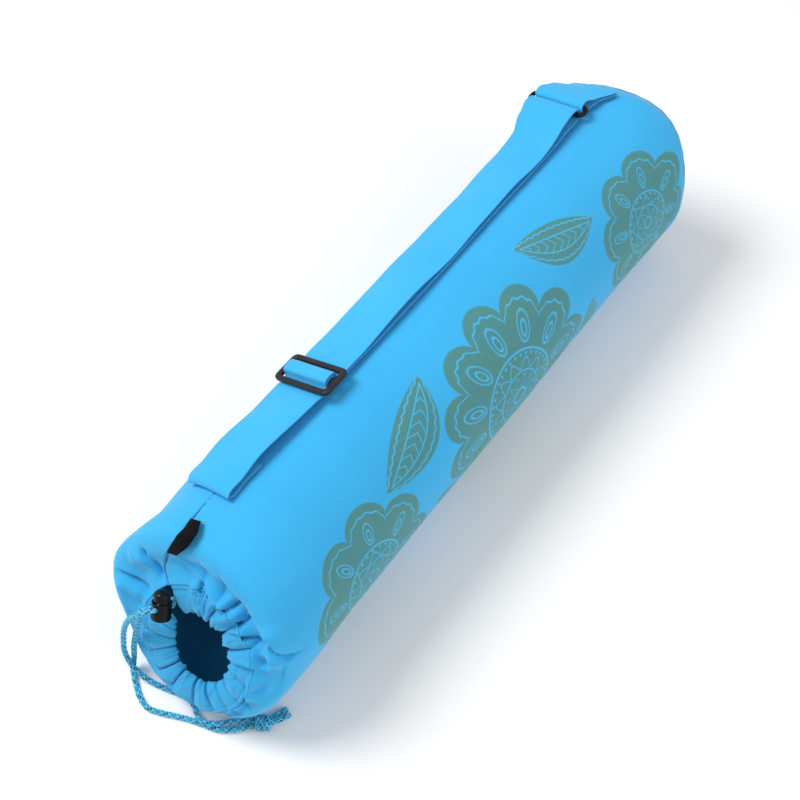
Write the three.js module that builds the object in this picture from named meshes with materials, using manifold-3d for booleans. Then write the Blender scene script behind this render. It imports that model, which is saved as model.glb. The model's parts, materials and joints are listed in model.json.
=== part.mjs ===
import * as THREE from 'three';
import { mergeVertices } from 'three/addons/utils/BufferGeometryUtils.js';
import Module from 'manifold-3d';

// Yoga mat bag: a round cloth tube with a drawstring mouth, a closed end and a shoulder strap.
// Millimetres. X runs along the bag, its mouth is at -X, Z is up and the bag lies on Z = 0.

const wasm = await Module();
wasm.setup();

// Bag cloth
const BAG_LENGTH = 660;
const BAG_DIAMETER = 170;
const CLOTH = 1.5;
const REST_SINK = 3;
const FIT_GAP = 0.3;
const END_DOME = 9;

// Mouth end: the gathered face leans back, and the mouth sits off its middle
const RIM_TILT = 24;
const FACE_TILT = 30;
const FACE_RISE = 9;
const MOUTH_DIAMETER = 70;
const MOUTH_SIDE = 10;
const MOUTH_UP = -13;
const CASING_WIDTH = 20;
const CASING_THICKNESS = 7.5;
const CASING_GAP_MIDDLE = -58;
const CASING_GAP_WIDTH = 23;
const GATHERS = 18;
const GATHER_DEPTH = 2.6;
const SCALLOP_DEPTH = 1.6;

// Shoulder strap and its fittings
const STRAP_WIDTH = 50;
const STRAP_THICKNESS = 1.8;
const LAYER_GAP = 0.5;
const STRAP_CLEARANCE = 0.6;
const TAIL_LENGTH = 38;
const STRAP_FROM_MOUTH = 113;
const STRAP_LOFT = 4.5;
const STRAP_PLAY = 2;
const SLIDER_FROM_FOLD = 126;
const SLIDER_WIDTH = 63;
const SLIDER_DEPTH = 30;
const SLIDER_BAR = 5;
const SLIDER_HEIGHT = 4;
const SLIDER_CORNER = 4.5;
const RING_FROM_END = 54;
const RING_WIDTH = 62;
const RING_DEPTH = 15.5;
const RING_ROD = 4;
const RING_CORNER = 4;

// Cord lock, cord and label
const LOCK_SIDE = -23.9;
const LOCK_UP = 14;
const LOCK_OUT = 22.5;
const LOCK_SWING = 20;
const LOCK_LEAN = 17;
const LOCK_DIAMETER = 16;
const LOCK_BARREL = 15;
const LOCK_WALL = 1.1;
const LOCK_FLOOR = 2;
const LOCK_SLOT_AT = 10;
const BUTTON_RISE = 9.5;
const BUTTON_TRAVEL = 3.5;
const SLIDE_GAP = 0.25;
const CORD_DIAMETER = 4;
const CORD_SPACING = 4.5;
const CORD_CLEARANCE = 0.6;
const KNOT_LENGTH = 15;
const KNOT_DIAMETER = 12;
const LABEL_LENGTH = 36;
const LABEL_HEIGHT = 10.5;
const LABEL_THICKNESS = 1.2;
const LABEL_FROM_MOUTH = 86.5;
const LABEL_LEAN = 18;

// Mesh fineness
const AROUND = 72;
const END_STEP = 2;
const TUBE_SIDES = 8;
const STRAP_COLUMNS = 5;
const LOCK_SIDES = 16;
const CORD_STEP = 1.9;

const RADIUS = BAG_DIAMETER / 2;
const AXIS_HEIGHT = RADIUS - REST_SINK;
const MOUTH_RADIUS = MOUTH_DIAMETER / 2;
const CASING_RADIUS = MOUTH_RADIUS + CASING_WIDTH / 2;
const SEAM_RADIUS = MOUTH_RADIUS + CASING_WIDTH + FIT_GAP;
const STRAP_START = STRAP_FROM_MOUTH - BAG_LENGTH / 2;
const SLIDER_AT = STRAP_START + SLIDER_FROM_FOLD;
const RING_AT = BAG_LENGTH / 2 - RING_FROM_END;
const LABEL_START = LABEL_FROM_MOUTH - BAG_LENGTH / 2;
const rad = THREE.MathUtils.degToRad;
const lerp = THREE.MathUtils.lerp;

// Sections of the side panel from the closed end to the shoulder of the mouth end.
// at: share of the bag's length from its middle. wide, high: shares of the bag's radius.
// seam: where the panel's long seam runs, in degrees from the top towards -Y.
const BODY_SECTIONS = [
  { at: 0.4920, tilt: 0, wide: 0.975, high: 0.975, seam: -22 },
  { at: 0.4820, tilt: 0, wide: 1.000, high: 0.995, seam: -22 },
  { at: 0.4400, tilt: 0, wide: 1.005, high: 1.000, seam: -22 },
  { at: 0.3400, tilt: 0, wide: 0.995, high: 0.990, seam: -22 },
  { at: 0.2200, tilt: 0, wide: 1.000, high: 1.000, seam: -22 },
  { at: 0.0700, tilt: 0, wide: 1.000, high: 0.995, seam: -22 },
  { at: -0.1000, tilt: 0, wide: 1.005, high: 1.000, seam: -22 },
  { at: -0.2600, tilt: 1, wide: 1.000, high: 1.000, seam: -22 },
  { at: -0.3300, tilt: 6, wide: 1.010, high: 1.000, seam: -22 },
  { at: -0.3800, tilt: 13, wide: 1.025, high: 1.010, seam: -22 },
  { at: -0.4130, tilt: 20, wide: 1.035, high: 1.010, seam: -22 },
  { at: -0.4280, tilt: 23, wide: 1.030, high: 1.000, seam: -22 },
];
const RIM_AT = -0.4335;
const RIM_WIDE = 1.01;
const RIM_HIGH = 0.985;

// Sections of the gathered face from its rim in to the seam of the drawstring casing.
// inward: share of the way to the seam. out, gather: shares of FACE_RISE and GATHER_DEPTH.
const FACE_SECTIONS = [
  { inward: 0.00, out: 0.25, gather: 0.0, seam: -23 },
  { inward: 0.14, out: 0.75, gather: 0.1, seam: -26 },
  { inward: 0.36, out: 1.00, gather: 0.3, seam: -33 },
  { inward: 0.60, out: 0.80, gather: 0.6, seam: -43 },
  { inward: 0.82, out: 0.75, gather: 0.9, seam: -49 },
  { inward: 1.00, out: 0.95, gather: 1.0, seam: -47 },
];

// Folds of the face. around, spread: degrees from up towards -Y. inward, width: shares of
// the way in to the seam. depth: share of FACE_RISE, below zero where the cloth stands out.
const FACE_FOLDS = [
  { around: -20, spread: 22, inward: 0.62, width: 0.16, depth: 0.45 },
  { around: 25, spread: 22, inward: 0.72, width: 0.16, depth: 0.55 },
  { around: 62, spread: 18, inward: 0.70, width: 0.18, depth: 0.60 },
  { around: 84, spread: 10, inward: 0.25, width: 0.25, depth: 0.90 },
  { around: -70, spread: 10, inward: 0.45, width: 0.25, depth: 0.50 },
  { around: -100, spread: 12, inward: 0.40, width: 0.25, depth: -0.35 },
  { around: 152, spread: 7, inward: 0.50, width: 0.45, depth: 0.60 },
];

// Broad dents and folds of the side panel. at, long: shares of the bag's length.
// around, spread: degrees from the top towards -Y. depth: share of the bag's radius.
const DENTS = [
  { at: 0.45, around: 62, long: 0.05, spread: 22, depth: 0.030 },
  { at: 0.37, around: -62, long: 0.06, spread: 20, depth: 0.025 },
  { at: 0.23, around: 96, long: 0.07, spread: 18, depth: 0.022 },
  { at: 0.06, around: -75, long: 0.07, spread: 20, depth: 0.020 },
  { at: -0.11, around: 88, long: 0.06, spread: 20, depth: 0.025 },
  { at: -0.29, around: 55, long: 0.05, spread: 24, depth: 0.025 },
  { at: -0.37, around: -62, long: 0.03, spread: 14, depth: 0.045 },
  { at: -0.39, around: 14, long: 0.02, spread: 20, depth: 0.035 },
  { at: -0.44, around: 84, long: 0.025, spread: 11, depth: 0.060 },
  { at: -0.44, around: 152, long: 0.03, spread: 8, depth: 0.040 },
  { at: -0.44, around: -88, long: 0.03, spread: 13, depth: -0.065 },
  { at: -0.44, around: -124, long: 0.04, spread: 17, depth: 0.090 },
];

// Uneven bulges of the closed end along X. around, spread: degrees from the top towards -Y.
const END_BULGES = [
  { around: 30, spread: 26, push: 12 },
  { around: 100, spread: 30, push: -8 },
  { around: -40, spread: 20, push: 3 },
];
const END_BULGE_LONG = 0.03;

const material = (color, roughness, metalness = 0) =>
  new THREE.MeshStandardMaterial({ color, roughness, metalness });
const CLOTH_BLUE = material(0x46b4f2, 0.85);
const STRAP_BLUE = material(0x4cbcf7, 0.85);
const CORD_BLUE = material(0x5cc6e8, 0.8);
const PLASTIC = material(0x1b1b1f, 0.35);
const LABEL_BLACK = material(0x14141a, 0.7);

const part = new THREE.Group();

function addMesh(name, geometry, mat, parent = part) {
  const mesh = new THREE.Mesh(geometry, mat);
  mesh.name = name;
  parent.add(mesh);
  return mesh;
}

// Triangles from rows of points. Rows close round on themselves when closed is true.
function quadRows(rows, closed) {
  const faces = [];
  const count = rows[0].length;
  const spans = closed ? count : count - 1;
  for (let i = 0; i + 1 < rows.length; i += 1) {
    for (let j = 0; j < spans; j += 1) {
      const k = (j + 1) % count;
      faces.push([rows[i][j], rows[i][k], rows[i + 1][k]]);
      faces.push([rows[i][j], rows[i + 1][k], rows[i + 1][j]]);
    }
  }
  return faces;
}

function signedVolume(faces) {
  const cross = new THREE.Vector3();
  return faces.reduce((sum, [a, b, c]) => sum + cross.crossVectors(b, c).dot(a) / 6, 0);
}

// One closed body from its triangles, turned so that its faces point out.
function bodyFrom(faces) {
  const turned = signedVolume(faces) < 0 ? faces.map(([a, b, c]) => [a, c, b]) : faces;
  const geometry = new THREE.BufferGeometry();
  geometry.setFromPoints(turned.flat());
  return geometry;
}

// Normals of a grid of points by differences to the neighbours in the row and across rows.
// The first row is the flat seam of the closed end and the last one the seam of the casing, so
// the normals there stay in those planes.
function gridNormals(rows) {
  const along = new THREE.Vector3();
  const round = new THREE.Vector3();
  const last = rows.length - 1;
  return rows.map((row, i) => row.map((p, j) => {
    const before = rows[Math.max(i - 1, 0)][j];
    const after = rows[Math.min(i + 1, rows.length - 1)][j];
    along.subVectors(after, before);
    round.subVectors(row[(j + 1) % row.length], row[(j + row.length - 1) % row.length]);
    const normal = new THREE.Vector3().crossVectors(along, round);
    if (i === 0) {
      normal.setX(0);
    }
    return i === last ? FACE.out.clone() : normal.normalize();
  }));
}

// A cloth wall: the outer rows, the same rows moved in by the cloth's thickness, and two hems.
function clothWall(outer, thickness) {
  const normals = gridNormals(outer);
  const inner = outer.map((row, i) => row.map((p, j) => {
    const q = p.clone().addScaledVector(normals[i][j], -thickness);
    q.z = Math.max(q.z, thickness);
    return q;
  }));
  const last = outer.length - 1;
  return bodyFrom([
    ...quadRows(outer, true),
    ...quadRows([...inner].reverse(), true),
    ...quadRows([inner[0], outer[0]], true),
    ...quadRows([outer[last], inner[last]], true),
  ]);
}

// Directions of the mouth end: side towards -Y, up along the leaning face, out from it.
function faceAxes(tilt) {
  const t = rad(tilt);
  return {
    side: new THREE.Vector3(0, -1, 0),
    up: new THREE.Vector3(Math.sin(t), 0, Math.cos(t)),
    out: new THREE.Vector3(-Math.cos(t), 0, Math.sin(t)),
  };
}
const FACE = faceAxes(FACE_TILT);
const FACE_MIDDLE = new THREE.Vector3(RIM_AT * BAG_LENGTH, 0, AXIS_HEIGHT);

function facePoint(side, up, out) {
  return FACE_MIDDLE.clone()
    .addScaledVector(FACE.side, side)
    .addScaledVector(FACE.up, up)
    .addScaledVector(FACE.out, out);
}

// Uneven pleats round the mouth, from -1 in a valley to 1 on a ridge.
function pleat(angle) {
  const uneven = 1 + 0.3 * Math.sin(2 * angle + 1);
  return Math.cos(GATHERS * angle + 0.7 * Math.sin(3 * angle)) * uneven / 1.3;
}

function dentDepth(at, degrees) {
  return DENTS.reduce((sum, dent) => {
    const along = (at - dent.at) / dent.long;
    const turn = ((degrees - dent.around + 540) % 360 - 180) / dent.spread;
    return sum + dent.depth * RADIUS * Math.exp(-(along * along + turn * turn) / 2);
  }, 0);
}

function endPush(at, degrees) {
  const along = (BODY_SECTIONS[0].at - at) / END_BULGE_LONG;
  return END_BULGES.reduce((sum, bulge) => {
    const turn = ((degrees - bulge.around + 540) % 360 - 180) / bulge.spread;
    return sum + bulge.push * Math.exp(-(along * along + turn * turn) / 2);
  }, 0);
}

function onFloor(p) {
  p.z = Math.max(p.z, 0);
  return p;
}

function bodyRing(row) {
  const axes = faceAxes(row.tilt);
  return Array.from({ length: AROUND }, (_, j) => {
    const degrees = (j * 360) / AROUND;
    const angle = rad(degrees);
    const sink = 1 - dentDepth(row.at, degrees) / RADIUS;
    const p = new THREE.Vector3(row.at * BAG_LENGTH, 0, AXIS_HEIGHT);
    p.x += endPush(row.at, degrees);
    p.addScaledVector(axes.side, row.wide * RADIUS * sink * Math.sin(angle));
    p.addScaledVector(axes.up, row.high * RADIUS * sink * Math.cos(angle));
    return onFloor(p);
  });
}

function foldDepth(degrees, inward) {
  return FACE_FOLDS.reduce((sum, fold) => {
    const turn = ((degrees - fold.around + 540) % 360 - 180) / fold.spread;
    const reach = (inward - fold.inward) / fold.width;
    return sum + fold.depth * FACE_RISE * Math.exp(-(turn * turn + reach * reach) / 2);
  }, 0);
}

function faceRing(row) {
  const rim = bodyRing({ at: RIM_AT, tilt: RIM_TILT, wide: RIM_WIDE, high: RIM_HIGH });
  const settled = 1 - row.inward ** 6;
  return rim.map((rimPoint, j) => {
    const degrees = (j * 360) / AROUND;
    const angle = rad(degrees);
    const side = MOUTH_SIDE + SEAM_RADIUS * Math.sin(angle);
    const up = MOUTH_UP + SEAM_RADIUS * Math.cos(angle);
    const p = rimPoint.lerp(facePoint(side, up, 0), row.inward);
    const fold = foldDepth(degrees, row.inward) * settled;
    const lift = row.out * FACE_RISE + row.gather * GATHER_DEPTH * pleat(angle) - fold;
    return onFloor(p.addScaledVector(FACE.out, lift));
  });
}

const SKIN = [...BODY_SECTIONS.map(bodyRing), ...FACE_SECTIONS.map(faceRing)];

function makeSidePanel() {
  addMesh('side_panel', clothWall(SKIN, CLOTH), CLOTH_BLUE);
}

// The round end panel bulges out from its seam with the side panel.
const DOME_ROWS = [
  { reach: 1.00, rise: 0.00 },
  { reach: 0.97, rise: 0.42 },
  { reach: 0.90, rise: 0.72 },
  { reach: 0.68, rise: 0.92 },
  { reach: 0.35, rise: 1.00 },
];

function makeEndPanel() {
  const seam = BODY_SECTIONS[0];
  const seamX = seam.at * BAG_LENGTH;
  const middle = new THREE.Vector3(seamX + 2 * FIT_GAP, 0, AXIS_HEIGHT);
  const edge = bodyRing(seam).filter((_, j) => j % END_STEP === 0);
  const ring = (row, inset) => edge.map((p) => {
    const spoke = p.clone().sub(middle).setX(p.x - seamX);
    const reach = row.reach * (1 - FIT_GAP / RADIUS) - inset / RADIUS;
    const q = middle.clone().addScaledVector(spoke, reach);
    q.x += row.rise * END_DOME;
    q.z = Math.max(q.z, inset);
    return q;
  });
  const outer = DOME_ROWS.map((row) => ring(row, 0));
  const inner = DOME_ROWS.map((row) => {
    const points = ring(row, CLOTH * (1 - row.rise));
    points.forEach((p) => { p.x -= CLOTH * row.rise; });
    return points;
  });
  const outerTip = middle.clone().setX(middle.x + END_DOME);
  const innerTip = outerTip.clone().setX(outerTip.x - CLOTH);
  const last = DOME_ROWS.length - 1;
  const fan = (row, tip) => row.map((p, j) => [p, row[(j + 1) % row.length], tip]);
  addMesh('end_panel', bodyFrom([
    ...quadRows(outer, true),
    ...fan(outer[last], outerTip),
    ...quadRows([...inner].reverse(), true),
    ...fan(inner[last], innerTip).map(([a, b, c]) => [a, c, b]),
    ...quadRows([inner[0], outer[0]], true),
  ]), CLOTH_BLUE);
}

// The drawstring casing is a ruffled flat tube round the mouth, open where the cords come out.
function casingRows(halfWidth, halfHeight) {
  const gapHalf = CASING_GAP_WIDTH / 2 / CASING_RADIUS;
  const start = rad(CASING_GAP_MIDDLE) + gapHalf;
  const sweep = 2 * Math.PI - 2 * gapHalf;
  const steps = Math.round((AROUND * sweep) / (2 * Math.PI));
  return Array.from({ length: steps + 1 }, (_, i) => {
    const angle = start + (sweep * i) / steps;
    const ridge = pleat(angle);
    return Array.from({ length: TUBE_SIDES }, (_, k) => {
      const turn = (2 * Math.PI * k) / TUBE_SIDES;
      const inwards = (1 - Math.cos(turn)) / 2;
      const radius = CASING_RADIUS + halfWidth * Math.cos(turn) - SCALLOP_DEPTH * ridge * inwards;
      const out = 0.95 * FACE_RISE + GATHER_DEPTH * ridge * (1 - 0.4 * inwards);
      const side = MOUTH_SIDE + radius * Math.sin(angle);
      const up = MOUTH_UP + radius * Math.cos(angle);
      return facePoint(side, up, out + halfHeight * Math.sin(turn));
    });
  });
}

function makeCasing() {
  const outer = casingRows(CASING_WIDTH / 2, CASING_THICKNESS / 2);
  const inner = casingRows(CASING_WIDTH / 2 - CLOTH, CASING_THICKNESS / 2 - CLOTH);
  const last = outer.length - 1;
  addMesh('drawstring_casing', bodyFrom([
    ...quadRows(outer, true),
    ...quadRows([...inner].reverse(), true),
    ...quadRows([inner[0], outer[0]], true),
    ...quadRows([outer[last], inner[last]], true),
  ]), CLOTH_BLUE);
}

// The bag's radius under the strap, without dents.
function strapSeat(x) {
  const at = x / BAG_LENGTH;
  const next = Math.max(BODY_SECTIONS.findIndex((row) => row.at <= at), 1);
  const a = BODY_SECTIONS[next - 1];
  const b = BODY_SECTIONS[next];
  const share = THREE.MathUtils.clamp((at - a.at) / (b.at - a.at), 0, 1);
  return RADIUS * lerp(Math.max(a.wide, a.high), Math.max(b.wide, b.high), share);
}

// Line of the strap over the bag. at: share of the bag's length from its middle.
// around: degrees from the top towards -Y. stand: how far the strap's +Y edge stands off.
const STRAP_LINE = [
  { at: -0.3288, around: -27.0, stand: 0 },
  { at: -0.1379, around: -25.2, stand: 0 },
  { at: 0.3000, around: -26.0, stand: 0 },
  { at: 0.3515, around: -26.0, stand: 1.5 },
  { at: 0.3788, around: -26.5, stand: 9 },
  { at: 0.4000, around: -26.5, stand: 13 },
  { at: 0.4340, around: -26.5, stand: 13 },
  { at: 0.4515, around: -25.0, stand: 12 },
  { at: 0.4820, around: -20.0, stand: 1 },
];

function strapLine(x, column) {
  const at = x / BAG_LENGTH;
  const next = STRAP_LINE.findIndex((row) => row.at > at);
  if (next <= 0) {
    return STRAP_LINE[next === 0 ? 0 : STRAP_LINE.length - 1][column];
  }
  const a = STRAP_LINE[next - 1];
  const b = STRAP_LINE[next];
  return lerp(a[column], b[column], THREE.MathUtils.smoothstep(at, a.at, b.at));
}

function strapAngle(x) {
  return rad(strapLine(x, 'around'));
}

// A point above the bag. across runs along the strap's width. drape is 0 where the strap is
// flat across and 1 where it follows the bag's round side.
function overBag(x, height, across, drape) {
  const angle = strapAngle(x);
  const stand = strapLine(x, 'stand') * (0.5 - across / STRAP_WIDTH);
  const reach = strapSeat(x) + height + stand;
  const turn = across / reach;
  const radial = reach * lerp(1, Math.cos(turn), drape);
  const sideways = lerp(across, reach * Math.sin(turn), drape);
  const y = -radial * Math.sin(angle) - sideways * Math.cos(angle);
  const z = AXIS_HEIGHT + radial * Math.cos(angle) - sideways * Math.sin(angle);
  return new THREE.Vector3(x, y, z);
}

// A band of the strap's cloth along a path of steps { x, h, drape }.
function strapBand(path) {
  const columns = Array.from({ length: STRAP_COLUMNS }, (_, k) =>
    STRAP_WIDTH * (k / (STRAP_COLUMNS - 1) - 0.5));
  const rings = path.map((step, i) => {
    const before = path[Math.max(i - 1, 0)];
    const after = path[Math.min(i + 1, path.length - 1)];
    const run = Math.hypot(after.x - before.x, after.h - before.h);
    const dx = (-(after.h - before.h) / run) * (STRAP_THICKNESS / 2);
    const dh = ((after.x - before.x) / run) * (STRAP_THICKNESS / 2);
    const upper = columns.map((v) => overBag(step.x + dx, step.h + dh, v, step.drape));
    const lower = columns.map((v) => overBag(step.x - dx, step.h - dh, v, step.drape));
    return [...upper, ...lower.reverse()];
  });
  const count = STRAP_COLUMNS * 2;
  const cap = (ring) => quadRows([
    ring.slice(0, STRAP_COLUMNS),
    ring.slice(STRAP_COLUMNS, count).reverse(),
  ], false);
  const turned = cap(rings[0]).map(([a, b, c]) => [a, c, b]);
  return bodyFrom([...quadRows(rings, true), ...turned, ...cap(rings[rings.length - 1])]);
}

// Heights of the strap's two layers and of the fittings, above the bag's round side.
const LOWER_LAYER = STRAP_CLEARANCE + STRAP_THICKNESS / 2;
const UPPER_LAYER = LOWER_LAYER + STRAP_THICKNESS + LAYER_GAP;
const BAR_BOTTOM = UPPER_LAYER + STRAP_THICKNESS / 2 + FIT_GAP;
const BAR_TOP = BAR_BOTTOM + SLIDER_HEIGHT;
const BAR_CLEAR = FIT_GAP + STRAP_THICKNESS / 2;
const LAYER_STEP = STRAP_THICKNESS + LAYER_GAP;
const ROD_CLEAR = RING_ROD * 0.62 + FIT_GAP + STRAP_THICKNESS / 2;
const ROD_HEIGHT = LOWER_LAYER + ROD_CLEAR;
const RING_SPAN = RING_DEPTH - RING_ROD;

// The pass over the slider's middle bar, from its near slot to its far one. grow is the
// distance outside the layer that lies on the bar.
function overBar(grow) {
  const half = SLIDER_BAR / 2;
  const clear = BAR_CLEAR + grow;
  const middle = (BAR_BOTTOM + BAR_TOP) / 2;
  return [
    { x: SLIDER_AT - half - clear, h: middle, drape: 0 },
    { x: SLIDER_AT - half - clear * 0.74, h: BAR_TOP + clear * 0.74, drape: 0 },
    { x: SLIDER_AT - half * 0.6, h: BAR_TOP + clear, drape: 0 },
    { x: SLIDER_AT + half * 0.6, h: BAR_TOP + clear, drape: 0 },
    { x: SLIDER_AT + half + clear * 0.74, h: BAR_TOP + clear * 0.74, drape: 0 },
    { x: SLIDER_AT + half + clear, h: middle, drape: 0 },
  ];
}

// Half a turn round a rod of the ring, from below it to above it, bulging along +X or -X.
function roundRod(x, direction) {
  return [-90, -60, -30, 0, 30, 60, 90].map((degrees) => ({
    x: x + direction * ROD_CLEAR * Math.cos(rad(degrees)),
    h: ROD_HEIGHT + ROD_CLEAR * Math.sin(rad(degrees)),
    drape: 0,
  }));
}

function makeStrap() {
  const foldRadius = LAYER_STEP / 2;
  const nearRod = RING_AT - RING_SPAN / 2;
  const slope = SLIDER_BAR / 2 + BAR_CLEAR + LAYER_STEP;
  const lower = (x, drape) => ({ x, h: LOWER_LAYER, drape });
  const upper = (x, rise, drape) => ({ x, h: UPPER_LAYER + rise * STRAP_LOFT, drape });
  const run = nearRod - SLIDER_AT;
  const path = [
    lower(STRAP_START + TAIL_LENGTH, 0.9),
    lower(STRAP_START + TAIL_LENGTH / 2, 0.9),
    lower(STRAP_START + foldRadius, 0.9),
    { x: STRAP_START, h: LOWER_LAYER + foldRadius, drape: 0.9 },
    upper(STRAP_START + foldRadius, 0, 0.9),
    upper(STRAP_START + TAIL_LENGTH * 0.5, 0.55, 0.85),
    upper(STRAP_START + TAIL_LENGTH, 1.0, 0.75),
    upper(STRAP_START + TAIL_LENGTH * 1.7, 0.75, 0.65),
    upper(STRAP_START + TAIL_LENGTH * 2.4, 0.25, 0.35),
    upper(SLIDER_AT - SLIDER_DEPTH * 0.7, 0, 0.05),
    upper(SLIDER_AT - slope - LAYER_STEP, 0, 0),
    ...overBar(LAYER_STEP),
    upper(SLIDER_AT + slope + LAYER_STEP, 0, 0),
    upper(SLIDER_AT + SLIDER_DEPTH * 0.7, 0, 0.05),
    upper(SLIDER_AT + run * 0.15, 0.1, 0.5),
    upper(SLIDER_AT + run * 0.27, 0.55, 0.6),
    upper(SLIDER_AT + run * 0.4, 0.2, 0.65),
    upper(SLIDER_AT + run * 0.55, 0.1, 0.65),
    upper(SLIDER_AT + run * 0.7, 0.35, 0.6),
    upper(SLIDER_AT + run * 0.82, 0.2, 0.5),
    upper(SLIDER_AT + run * 0.88, 0.4, 0.3),
    upper(SLIDER_AT + run * 0.94, 0.9, 0.15),
    ...roundRod(nearRod, 1).reverse(),
    lower(SLIDER_AT + run * 0.94, 0.15),
    lower(SLIDER_AT + run * 0.88, 0.3),
    lower(SLIDER_AT + run * 0.8, 0.5),
    lower(SLIDER_AT + run * 0.6, 0.6),
    lower(SLIDER_AT + run * 0.4, 0.65),
    lower(SLIDER_AT + run * 0.25, 0.6),
    lower(SLIDER_AT + run * 0.15, 0.5),
    lower(SLIDER_AT + SLIDER_DEPTH * 0.7, 0.05),
    lower(SLIDER_AT + slope, 0),
    ...overBar(0).reverse(),
    { x: SLIDER_AT - SLIDER_BAR / 2 - BAR_CLEAR * 0.74, h: BAR_BOTTOM - BAR_CLEAR * 0.74, drape: 0 },
    { x: SLIDER_AT - SLIDER_BAR / 4, h: BAR_BOTTOM - BAR_CLEAR, drape: 0 },
    { x: SLIDER_AT + SLIDER_BAR / 4, h: BAR_BOTTOM - BAR_CLEAR, drape: 0 },
  ];
  addMesh('shoulder_strap', strapBand(path), STRAP_BLUE);
}

// The short loop that holds the ring to the seam of the closed end.
function makeTab() {
  const farRod = RING_AT + RING_SPAN / 2;
  const seam = BODY_SECTIONS[1].at * BAG_LENGTH;
  const path = [
    { x: seam, h: LOWER_LAYER, drape: 0.7 },
    { x: lerp(farRod, seam, 0.5), h: LOWER_LAYER, drape: 0.35 },
    ...roundRod(farRod, -1),
    { x: lerp(farRod, seam, 0.5), h: lerp(UPPER_LAYER, ROD_HEIGHT, 0.9), drape: 0.35 },
    { x: seam, h: UPPER_LAYER, drape: 0.7 },
  ];
  addMesh('strap_tab', strapBand(path), STRAP_BLUE);
}

function roundedRectangle(shape, x0, y0, width, height, corner) {
  shape.moveTo(x0 + corner, y0);
  shape.lineTo(x0 + width - corner, y0);
  shape.quadraticCurveTo(x0 + width, y0, x0 + width, y0 + corner);
  shape.lineTo(x0 + width, y0 + height - corner);
  shape.quadraticCurveTo(x0 + width, y0 + height, x0 + width - corner, y0 + height);
  shape.lineTo(x0 + corner, y0 + height);
  shape.quadraticCurveTo(x0, y0 + height, x0, y0 + height - corner);
  shape.lineTo(x0, y0 + corner);
  shape.quadraticCurveTo(x0, y0, x0 + corner, y0);
  return shape;
}

// A flat frame with rounded corners and edges, its windows given as [start, end] along X.
function frameGeometry(depth, width, thickness, side, corner, windows) {
  const bevel = thickness * 0.22;
  const outline = roundedRectangle(
    new THREE.Shape(), -depth / 2 + bevel, -width / 2 + bevel,
    depth - 2 * bevel, width - 2 * bevel, corner - bevel,
  );
  windows.forEach(([start, end]) => outline.holes.push(roundedRectangle(
    new THREE.Path(), start - bevel, -width / 2 + side - bevel,
    end - start + 2 * bevel, width - 2 * side + 2 * bevel, corner * 0.3,
  )));
  const geometry = new THREE.ExtrudeGeometry(outline, {
    depth: thickness - 2 * bevel,
    bevelEnabled: true,
    bevelThickness: bevel,
    bevelSize: bevel,
    bevelSegments: 1,
    curveSegments: 3,
  });
  geometry.translate(0, 0, bevel - thickness / 2);
  return geometry;
}

// A fitting on the bag's round side, with its X along the bag and its Z away from the bag.
function seatFitting(mesh, x, height) {
  mesh.position.copy(overBag(x, height, 0, 0));
  mesh.rotation.x = strapAngle(x) + Math.atan(strapLine(x, 'stand') / STRAP_WIDTH);
}

function makeSlider() {
  const slot = (SLIDER_DEPTH - 3 * SLIDER_BAR) / 2;
  const start = SLIDER_BAR / 2;
  const geometry = frameGeometry(
    SLIDER_DEPTH, SLIDER_WIDTH, SLIDER_HEIGHT,
    (SLIDER_WIDTH - STRAP_WIDTH - STRAP_PLAY) / 2, SLIDER_CORNER,
    [[-start - slot, -start], [start, start + slot]],
  );
  const mesh = addMesh('slider', geometry, PLASTIC);
  seatFitting(mesh, SLIDER_AT, (BAR_BOTTOM + BAR_TOP) / 2);
}

function makeRing() {
  const inside = RING_DEPTH / 2 - RING_ROD;
  const geometry = frameGeometry(
    RING_DEPTH, RING_WIDTH, RING_ROD, RING_ROD, RING_CORNER, [[-inside, inside]],
  );
  const mesh = addMesh('ring', geometry, PLASTIC);
  seatFitting(mesh, RING_AT, ROD_HEIGHT);
}

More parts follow.
